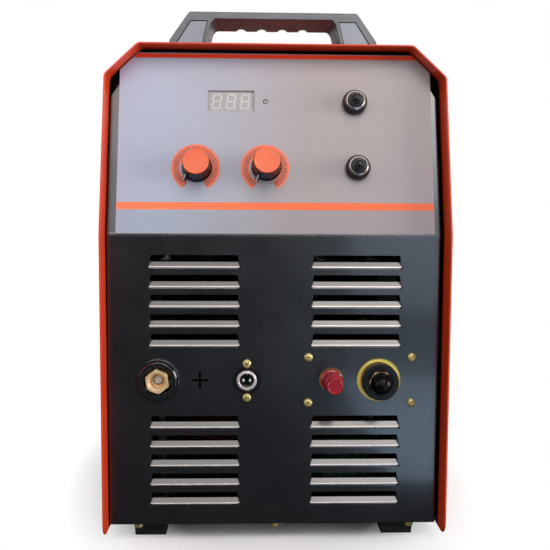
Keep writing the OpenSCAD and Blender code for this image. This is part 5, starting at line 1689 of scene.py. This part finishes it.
@dataclass
class Knob:
    """Glossy round knob with a pointer fin, and its coloured cap."""

    name: str
    x: float
    radius: float = 13.3
    height: float = 23.2
    cap_t: float = 3.0
    fin_reach: float = 17.3
    turn: float = -135.0
    lift: float = 0.0

    def build(self) -> None:
        """Turns the body and the cap, and adds the fin."""
        r, top = self.radius, self.height - self.cap_t + 0.8
        seat = on_slope(self.x, KNOB_S) @ on_case(z=PLATE + self.lift) @ turned_about_z(self.turn)
        profile = [(r - 1.2, 1.2), (r + 0.8, 1.2), (r + 0.8, 2.4), (r + 0.4, 2.8), (r, 3.4), (r - 0.25, 9.0),
                   (r - 0.5, 15.0), (r - 0.7, top - 0.5), (r - 1.0, top), (r - 1.3, top),
                   (r - 1.35, top - 1.6), (r - 3.0, top - 1.6)]
        body = Piece.turned(self.name + "_knob_body", profile, 96)
        fin = Piece.outline("fin", [(9.0, 1.3), (self.fin_reach, 1.3), (self.fin_reach, 4.0), (r + 0.4, 13.5),
                                    (9.0, 13.5)], -1.6, 1.6).move(Matrix.Rotation(math.pi / 2, 4, "X"))
        body.fuse(fin.soften(0.5, 3, 40.0)).smooth(34.0)
        body.move(seat).hand_in(self.name + "_knob", Slot.KNOB, KNOB_BLACK, self.name + "_knob")
        c = r - 1.2
        rim = self.height
        face = [(c - 0.6, rim - 3.0), (c, rim - 2.6), (c, rim - 0.7), (c - 0.2, rim - 0.25), (c - 0.7, rim),
                (c - 1.8, rim - 0.05), (c - 3.2, rim - 0.22), (c * 0.4, rim - 0.3)]
        cap = Piece.turned(self.name + "_cap_disc", face, 96)
        cap.smooth(40.0).move(seat).hand_in(self.name + "_knob", Slot.CAP, CAP_ORANGE, self.name + "_cap")


@dataclass
class Toggles:
    """Two toggle switches: stepped round nuts, bright rings and ribbed rubber boots."""

    places: tuple[tuple[str, Point], ...] = (("gas", GAS_PLACE), ("mode", MODE_PLACE))
    nut_r: float = 11.7
    nut_h: float = 9.5
    pivot: float = 8.5
    tilt: float = 7.0

    def build(self) -> None:
        """Turns the nut and ring once, and a boot for each lever."""
        r, h = self.nut_r, self.nut_h
        seats = [on_slope(*place) for _, place in self.places]
        steps = [(7.3, 1.7), (r - 0.5, PLATE), (r, PLATE + 0.5), (r, 3.4), (r - 0.35, 3.7), (r - 0.35, 4.2),
                 (r, 4.5), (r, 6.3), (r - 0.3, 6.7), (10.3, h - 0.3), (9.9, h), (7.3, h)]
        nut = Piece.turned("toggle_round_nuts", steps, 72, True)
        nut = nut.smooth(30.0).at_seats(seats)
        nut.hand_in("case", Slot.BLACK, BLACK_PLASTIC, "toggle_nuts")
        section = [(7.2, h), (9.5, h), (9.45, h + 0.4), (9.1, h + 0.9), (8.6, h + 1.5), (8.2, h + 1.75),
                   (7.7, h + 1.7), (7.3, h + 1.3), (7.2, h + 0.9)]
        ring = Piece.turned("toggle_bright_rings", section, 72, True)
        ring = ring.smooth(45.0).at_seats(seats)
        ring.hand_in("case", Slot.NICKEL, RING_NICKEL, "toggle_rings")
        for name, place in self.places:
            boot = self.boot(name + "_boot_lever")
            tilt = Matrix.Rotation(math.radians(self.tilt), 4, "X")
            boot.move(on_slope(*place) @ on_case(z=self.pivot) @ tilt)
            boot.hand_in(name + "_lever", Slot.RUBBER, BOOT_RUBBER, name + "_lever")

    @staticmethod
    def boot(name: str) -> Piece:
        """Turns one boot with its folds, sleeve and rounded tip.

        Args:
            name: the piece's name.

        Returns:
            The boot.
        """
        profile = [(4.2, -5.5), (6.2, -3.0), (6.85, -0.5), (6.7, 1.2), (6.2, 2.6), (6.3, 3.6), (7.2, 3.9),
                   (7.5, 4.3), (7.4, 4.9), (6.9, 5.3), (5.9, 5.45), (5.7, 5.9), (6.1, 6.2), (6.15, 6.7),
                   (5.7, 7.1), (4.9, 7.2), (4.6, 7.6), (4.5, 8.6), (4.4, 9.8), (4.05, 11.2), (3.3, 12.3),
                   (2.2, 12.85), (1.0, 13.0)]
        return Piece.turned(name, profile).smooth(60.0)


# ---------- connector row ----------


@dataclass
class WorkSocket:
    """Insulating flange, brass hexagon with its plug bore, and the bright contact."""

    x: float = WORK_X
    flange_r: float = 20.5
    hex_r: float = 11.7
    front: float = 9.0
    bore: float = 6.5

    def build(self) -> None:
        """Turns the flange, mills the hexagon and sets the contact."""
        seat = on_front(self.x, ROW_Z)
        r = self.flange_r
        section = [(13.3, -1.4), (15.0, -1.4), (15.0, 0.05), (r - 0.3, 0.05), (r, 0.35), (r, 2.7),
                   (r - 0.3, 3.2), (r - 1.0, 3.55), (r - 2.3, 3.6), (r - 2.6, 3.9), (r - 2.6, 5.3),
                   (r - 3.0, 5.8), (r - 3.5, 6.0), (14.4, 6.0), (13.7, 5.8), (13.3, 5.2)]
        flange = Piece.turned("work_flange_ring", section, 96, True)
        flange.smooth(32.0).move(seat).hand_in("case", Slot.BLACK, GLOSS_BLACK, "work_flange")
        body = Piece.drum("work_hexagon", self.hex_r, -1.5, self.front, 6).move(turned_about_z(7.5))
        w, f, b = self.hex_r, self.front, self.bore
        rim = [(30.0, f - 1.7), (w + 0.1, f - 1.7), (w - 1.1, f + 0.3), (30.0, f + 0.3)]
        chamfer = Piece.turned("tool", rim, 72, True)
        mouth = [(5.1, -8.0), (5.1, -4.0), (b, -4.0), (b, f - 3.0), (b + 0.5, f - 2.2), (b + 2.1, f + 0.1),
                 (b + 2.1, f + 2)]
        bore = Piece.turned("tool", mouth, 72)
        body.fuse(Piece.drum("tail", 9.0, -16.0, -0.5, 64)).cut(chamfer, bore)
        body.soften(0.25, 2, 28.0).smooth(24.0)
        body.move(seat).hand_in("case", Slot.BRASS, WORK_BRASS, "work_socket")
        contact = Piece.turned("work_contact_pin", [(3.9, -9.0), (4.15, -8.8), (4.15, -5.0), (3.9, -4.7),
                                                    (3.2, -4.6), (1.5, -4.7), (0.9, -4.62)], 48)
        contact.smooth(30.0).move(seat).hand_in("case", Slot.NICKEL, PIN_SILVER, "work_contact")


@dataclass
class ControlConnector:
    """Bright two-pin connector on a plate with two lugs."""

    x: float = CONTROL_X
    radius: float = 9.7
    bore: float = 6.7
    flange: float = 13.3
    pitch: float = LUG_PITCH
    foot: float = 0.02

    def build(self) -> None:
        """Stamps the lug plate, turns the barrel and sets two pins."""
        seat = on_front(self.x, ROW_Z)
        half = self.pitch / 2
        plate = Piece.box("control_lug_plate", (-4.2, -half, self.foot), (4.2, half, LUG_PLATE))
        plate.fuse(Piece.drum("eye", self.flange, self.foot, LUG_PLATE, 72))
        for y in (-half, half):
            plate.fuse(Piece.drum("lug", 5.0, self.foot, LUG_PLATE).move(on_case(0.0, y)))
        plate.cut(Piece.drum("tool", 8.3, -1.0, 3.0, 72)).soften(0.3, 2, 40.0).smooth()
        plate.move(seat).hand_in("case", Slot.BLACK, FLANGE_BLACK, "control_shell")
        r, b = self.radius, self.bore
        section = [(b, -12.0), (8.0, -12.0), (8.0, 1.9), (r - 0.3, 1.9), (r, 2.1), (r, 3.0), (r - 0.3, 3.6),
                   (r - 0.8, 4.05), (r - 1.4, 4.28), (r - 2.0, 4.3), (b + 0.6, 4.1), (b + 0.2, 3.7), (b, 3.2)]
        barrel = Piece.turned("control_barrel", section, 96, True)
        key = Piece.box("key", (-0.8, 5.6, -4.0), (0.8, 7.4, 3.0)).soften(0.2, 2, 40.0)
        barrel.join(key).smooth(34.0)
        barrel.move(seat).hand_in("case", Slot.NICKEL, SATIN_NICKEL, "control_shell")
        pin = Piece.turned("control_pin_pair", [(1.0, -6.0), (1.0, 2.8), (0.9, 3.2), (0.6, 3.5)], 24)
        pins = pin.smooth(40.0).at_seats([seat @ on_case(x) for x in (-3.1, 3.1)])
        pins.hand_in("case", Slot.NICKEL, PIN_SILVER, "control_pins")


@dataclass
class PilotPost:
    """Red binding post: collar, washer and ribbed nut."""

    x: float = PILOT_X
    radius: float = 10.6
    collar: float = 5.0
    reach: float = 30.0
    nut_r: float = 8.8
    tip_r: float = 7.6
    ribs: int = 18

    def build(self) -> None:
        """Turns the three pieces and lays the ribs round the nut."""
        seat = on_front(self.x, ROW_Z)
        r, c = self.radius, self.collar
        collar = Piece.turned("pilot_collar_disc", [(3.1, -1.5), (r, -1.5), (r, c - 1.4), (r - 0.4, c - 0.7),
                                                    (r - 1.1, c - 0.15), (r - 1.7, c), (3.1, c)], 72, True)
        collar.smooth(36.0).move(seat).hand_in("case", Slot.RED, RED_POST, "pilot_collar")
        disc = [(3.1, c), (6.4, c), (6.6, c + 0.2), (6.6, c + 1.0), (6.4, c + 1.2), (3.1, c + 1.2)]
        washer = Piece.turned("pilot_brass_washer", disc, 48, True)
        washer.smooth(40.0).move(seat).hand_in("pilot_washer", Slot.BRASS, BRASS, "pilot_washer")
        base, tip = c + 1.2, self.reach
        w, t = self.nut_r, self.tip_r
        profile = [(3.1, base), (w - 0.2, base), (w, base + 0.3), (w, base + 12.6), (w - 0.3, base + 13.6),
                   (t + 0.1, base + 14.4), (t, base + 15.0), (t, tip - 1.0), (t - 0.3, tip - 0.3),
                   (t - 0.8, tip), (t - 1.8, tip - 0.1), (t - 2.2, tip - 0.5)]
        nut = Piece.turned("pilot_ribbed_nut", profile, 96)
        rib = Piece.turned("rib", [(0.2, 0.0), (0.34, 0.5), (0.34, 11.2), (0.16, 12.2)], 12)
        rib.move(on_case(w, 0, base))
        with rib.editing():
            bpy.ops.mesh.select_all(action="SELECT")
            bpy.ops.mesh.spin(steps=self.ribs, angle=2 * math.pi, dupli=True, center=(0.0, 0.0, 0.0),
                              axis=(0.0, 0.0, 1.0))
            bpy.ops.mesh.select_all(action="SELECT")
            bpy.ops.mesh.remove_doubles(threshold=0.001)
        nut.join(rib.face_out()).smooth(36.0)
        nut.move(seat).hand_in("pilot_nut", Slot.RED, RED_POST, "pilot_nut")


@dataclass
class TorchConnector:
    """Black insulating disc, brass hexagon and the glossy round cap."""

    x: float = TORCH_X
    disc_r: float = 17.2
    face: float = 12.0
    cap_r: float = 10.2

    def build(self) -> None:
        """Turns the disc and the cap, and mills the hexagon."""
        seat = on_front(self.x, ROW_Z)
        r, f = self.disc_r, self.face
        section = [(9.0, -1.4), (r, -1.4), (r, f - 1.3), (r - 0.35, f - 0.5), (r - 1.2, f), (12.5, f),
                   (12.2, f - 0.3), (12.2, f - 2.0), (9.0, f - 2.0)]
        disc = Piece.turned("torch_disc", section, 96, True)
        disc.smooth(34.0).move(seat).hand_in("case", Slot.BLACK, DISC_BLACK, "torch_insulator")
        brass = Piece.drum("torch_brass_hexagon", 11.0, f - 2.0, f + 2.0, 6).move(turned_about_z(30.0))
        rim = [(30.0, f + 1.0), (11.1, f + 1.0), (10.0, f + 2.2), (30.0, f + 2.2)]
        brass.cut(Piece.turned("tool", rim, 72, True))
        brass.fuse(Piece.drum("tail", 8.9, -44.0, f - 1.0, 64), Piece.drum("stud", 6.5, f, f + 11.0, 48))
        brass.cut(Piece.drum("tool", 3.0, -50.0, f + 20.0, 40)).soften(0.25, 2, 28.0).smooth(24.0)
        brass.move(seat).hand_in("case", Slot.BRASS, TORCH_BRASS, "torch_stud")
        c = self.cap_r
        dome = [(c * math.cos(a), f + 7 + c * math.sin(a)) for a in (0.15 * k for k in range(10))]
        skirt = [(c - 1.6, f + 2.4), (c - 0.4, f + 2.4), (c, f + 2.9)]
        cap = Piece.turned("torch_round_cap", skirt + dome + [(0.6, f + 7 + c - 0.02)], 96)
        cap.smooth(50.0).move(seat).hand_in("torch_cap", Slot.KNOB, KNOB_BLACK, "torch_cap")


# ---------- studio ----------


@dataclass
class Studio:
    """Pale floor, white surround, soft lamps and the camera."""

    eye: Triple = (-0.02384, -0.98165, 0.31547)
    yaw: float = 0.0320
    pitch: float = 0.0819
    roll: float = 0.0053
    lens: float = 50.46
    ahead_range: Point = (-0.92, -0.35)
    soft_light: Point = (0.03, 0.27)
    soft_colour: Shade = (0.93, 0.95, 1.0, 1.0)
    floor_size: float = 24.0
    floor_oval: Triple = (1.7, 0.95, 1.0)
    floor_fade: Point = (0.27, 0.41)
    floor_seen: Shade = (0.9, 0.9, 0.9, 1.0)
    floor_unseen: Shade = (0.075, 0.078, 0.088, 1.0)
    lamps: tuple[tuple[str, Triple, Triple, Point, float, Triple], ...] = (
        ("overhead", (0.0, -1.30, 1.48), (0.0, -0.26, 0.25), (1.6, 0.92), 11.4, (1.0, 0.93, 0.885)),
        ("skylight", (0.42, -1.24, 1.48), (0.1, -0.26, 0.2), (0.6, 0.7), 3.3, (1.0, 0.91, 0.84)),
        ("front", (-0.35, -1.77, 1.05), (0.0, -0.26, 0.25), (1.2, 0.36), 1.9, (0.88, 0.93, 1.0)),
        ("line", (-0.2, -1.9, 0.72), (0.0, -0.26, 0.2), (1.5, 0.07), 3.0, (1.0, 0.96, 0.93)),
        ("strip", (0.55, -1.75, 1.28), (0.1, -0.26, 0.25), (0.5, 0.35), 1.9, (0.80, 0.89, 1.0)),
        ("left", (-1.7, -1.0, 0.75), (0.0, -0.2, 0.25), (0.9, 1.1), 6.5, (0.84, 0.92, 1.0)),
        ("right", (1.75, -0.85, 0.5), (0.0, -0.2, 0.25), (0.9, 1.0), 28.0, (1.0, 0.97, 0.95)),
        ("window", (0.62, -1.85, 0.5), (0.15, -0.26, 0.25), (0.7, 1.0), 3.0, (0.66, 0.8, 1.0)),
        ("kicker", (0.27, -0.68, 0.01), (0.27, -0.68, 1.0), (0.26, 0.56), 0.75, (0.55, 0.77, 1.0)),
        ("back", (0.25, 1.8, 0.95), (0.0, 0.1, 0.22), (1.4, 0.9), 8.0, (1.0, 1.0, 1.0)),
    )

    def surround(self) -> None:
        """Sets the world: white to the camera's rays alone, and soft light to all others, dim ahead."""
        world = bpy.data.worlds.new("studio_surround")
        bpy.context.scene.world = world
        world.use_nodes = True
        nodes, links = world.node_tree.nodes, world.node_tree.links
        nodes.clear()
        output, path, place, parts, ahead, soft, white, mix = (nodes.new("ShaderNode" + kind) for kind in (
            "OutputWorld", "LightPath", "TexCoord", "SeparateXYZ", "MapRange", "Background", "Background",
            "MixShader"))
        links.new(place.outputs["Generated"], parts.inputs[0])
        links.new(parts.outputs["Y"], ahead.inputs["Value"])
        ahead.inputs["From Min"].default_value, ahead.inputs["From Max"].default_value = self.ahead_range
        ahead.inputs["To Min"].default_value, ahead.inputs["To Max"].default_value = self.soft_light
        links.new(ahead.outputs["Result"], soft.inputs["Strength"])
        soft.inputs["Color"].default_value = self.soft_colour
        white.inputs["Color"].default_value = WHITE
        white.inputs["Strength"].default_value = 1.0
        links.new(path.outputs["Is Camera Ray"], mix.inputs[0])
        links.new(soft.outputs[0], mix.inputs[1])
        links.new(white.outputs[0], mix.inputs[2])
        links.new(mix.outputs[0], output.inputs["Surface"])

    def floor(self) -> None:
        """Lays the floor: pale to the camera's rays, plain white away from the object, dark to all others."""
        deselect()
        bpy.ops.mesh.primitive_plane_add(size=self.floor_size, location=(0.0, 0.0, 0.0))
        floor = bpy.context.active_object
        floor.name = "studio_floor"
        material = bpy.data.materials.new("studio_floor")
        material.use_nodes = True
        nodes, links = material.node_tree.nodes, material.node_tree.links
        nodes.clear()
        output, cloth, white, path, place, squeeze, reach, far, both, pale, mix = (
            nodes.new("ShaderNode" + kind) for kind in (
                "OutputMaterial", "BsdfDiffuse", "Emission", "LightPath", "TexCoord", "VectorMath",
                "VectorMath", "MapRange", "Math", "Mix", "MixShader"))
        white.inputs["Color"].default_value = WHITE
        squeeze.operation, reach.operation, both.operation = "MULTIPLY", "LENGTH", "MULTIPLY"
        squeeze.inputs[1].default_value = self.floor_oval
        links.new(place.outputs["Object"], squeeze.inputs[0])
        links.new(squeeze.outputs[0], reach.inputs[0])
        far.inputs["From Min"].default_value, far.inputs["From Max"].default_value = self.floor_fade
        links.new(reach.outputs["Value"], far.inputs["Value"])
        links.new(far.outputs["Result"], both.inputs[0])
        links.new(path.outputs["Is Camera Ray"], both.inputs[1])
        pale.data_type = "RGBA"
        pale.inputs[6].default_value = self.floor_unseen
        pale.inputs[7].default_value = self.floor_seen
        links.new(path.outputs["Is Camera Ray"], pale.inputs[0])
        links.new(pale.outputs[2], cloth.inputs["Color"])
        links.new(both.outputs[0], mix.inputs[0])
        links.new(cloth.outputs[0], mix.inputs[1])
        links.new(white.outputs[0], mix.inputs[2])
        links.new(mix.outputs[0], output.inputs["Surface"])
        floor.data.materials.append(material)

    def light(self) -> None:
        """Hangs the soft lamps."""
        for name, place, aim, size, power, colour in self.lamps:
            lamp = bpy.data.lights.new("lamp_" + name, "AREA")
            lamp.shape = "RECTANGLE"
            lamp.size, lamp.size_y = size
            lamp.energy = power
            lamp.color = colour
            obj = bpy.data.objects.new("lamp_" + name, lamp)
            bpy.context.scene.collection.objects.link(obj)
            obj.location = place
            obj.rotation_euler = (Vector(aim) - Vector(place)).to_track_quat("-Z", "Y").to_euler()
            obj.visible_camera = False

    def camera(self) -> None:
        """Sets the camera before the front, a little to its left."""
        ahead = Vector((math.sin(self.yaw) * math.cos(self.pitch), math.cos(self.yaw) * math.cos(self.pitch),
                        -math.sin(self.pitch)))
        flat = Vector((math.cos(self.yaw), -math.sin(self.yaw), 0.0))
        upright = flat.cross(ahead)
        right = flat * math.cos(self.roll) + upright * math.sin(self.roll)
        up = upright * math.cos(self.roll) - flat * math.sin(self.roll)
        data = bpy.data.cameras.new("front_camera")
        data.lens = self.lens
        data.sensor_width = 36.0
        camera = bpy.data.objects.new("front_camera", data)
        bpy.context.scene.collection.objects.link(camera)
        turn = Matrix((right, up, -ahead)).transposed().to_4x4()
        camera.matrix_world = Matrix.Translation(self.eye) @ turn
        bpy.context.scene.camera = camera

    def build(self) -> None:
        """Sets up everything round the object."""
        self.surround()
        self.floor()
        self.light()
        self.camera()
        bpy.context.scene.view_settings.view_transform = "Standard"


def main() -> None:
    """Builds every sub-assembly in order."""
    logging.basicConfig(level=logging.INFO, format="%(name)s: %(message)s")
    dress_solids()
    Cover().build()
    FrontPanel().build()
    Feet().build()
    Handles().build()
    Print().build()
    for knob in (Knob("current", CURRENT_X), Knob("delay", DELAY_X, turn=-124.0, lift=5.0)):
        knob.build()
    Toggles().build()
    WorkSocket().build()
    ControlConnector().build()
    PilotPost().build()
    TorchConnector().build()
    Screws().build()
    Studio().build()
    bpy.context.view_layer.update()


if __name__ == "__main__":
    main()
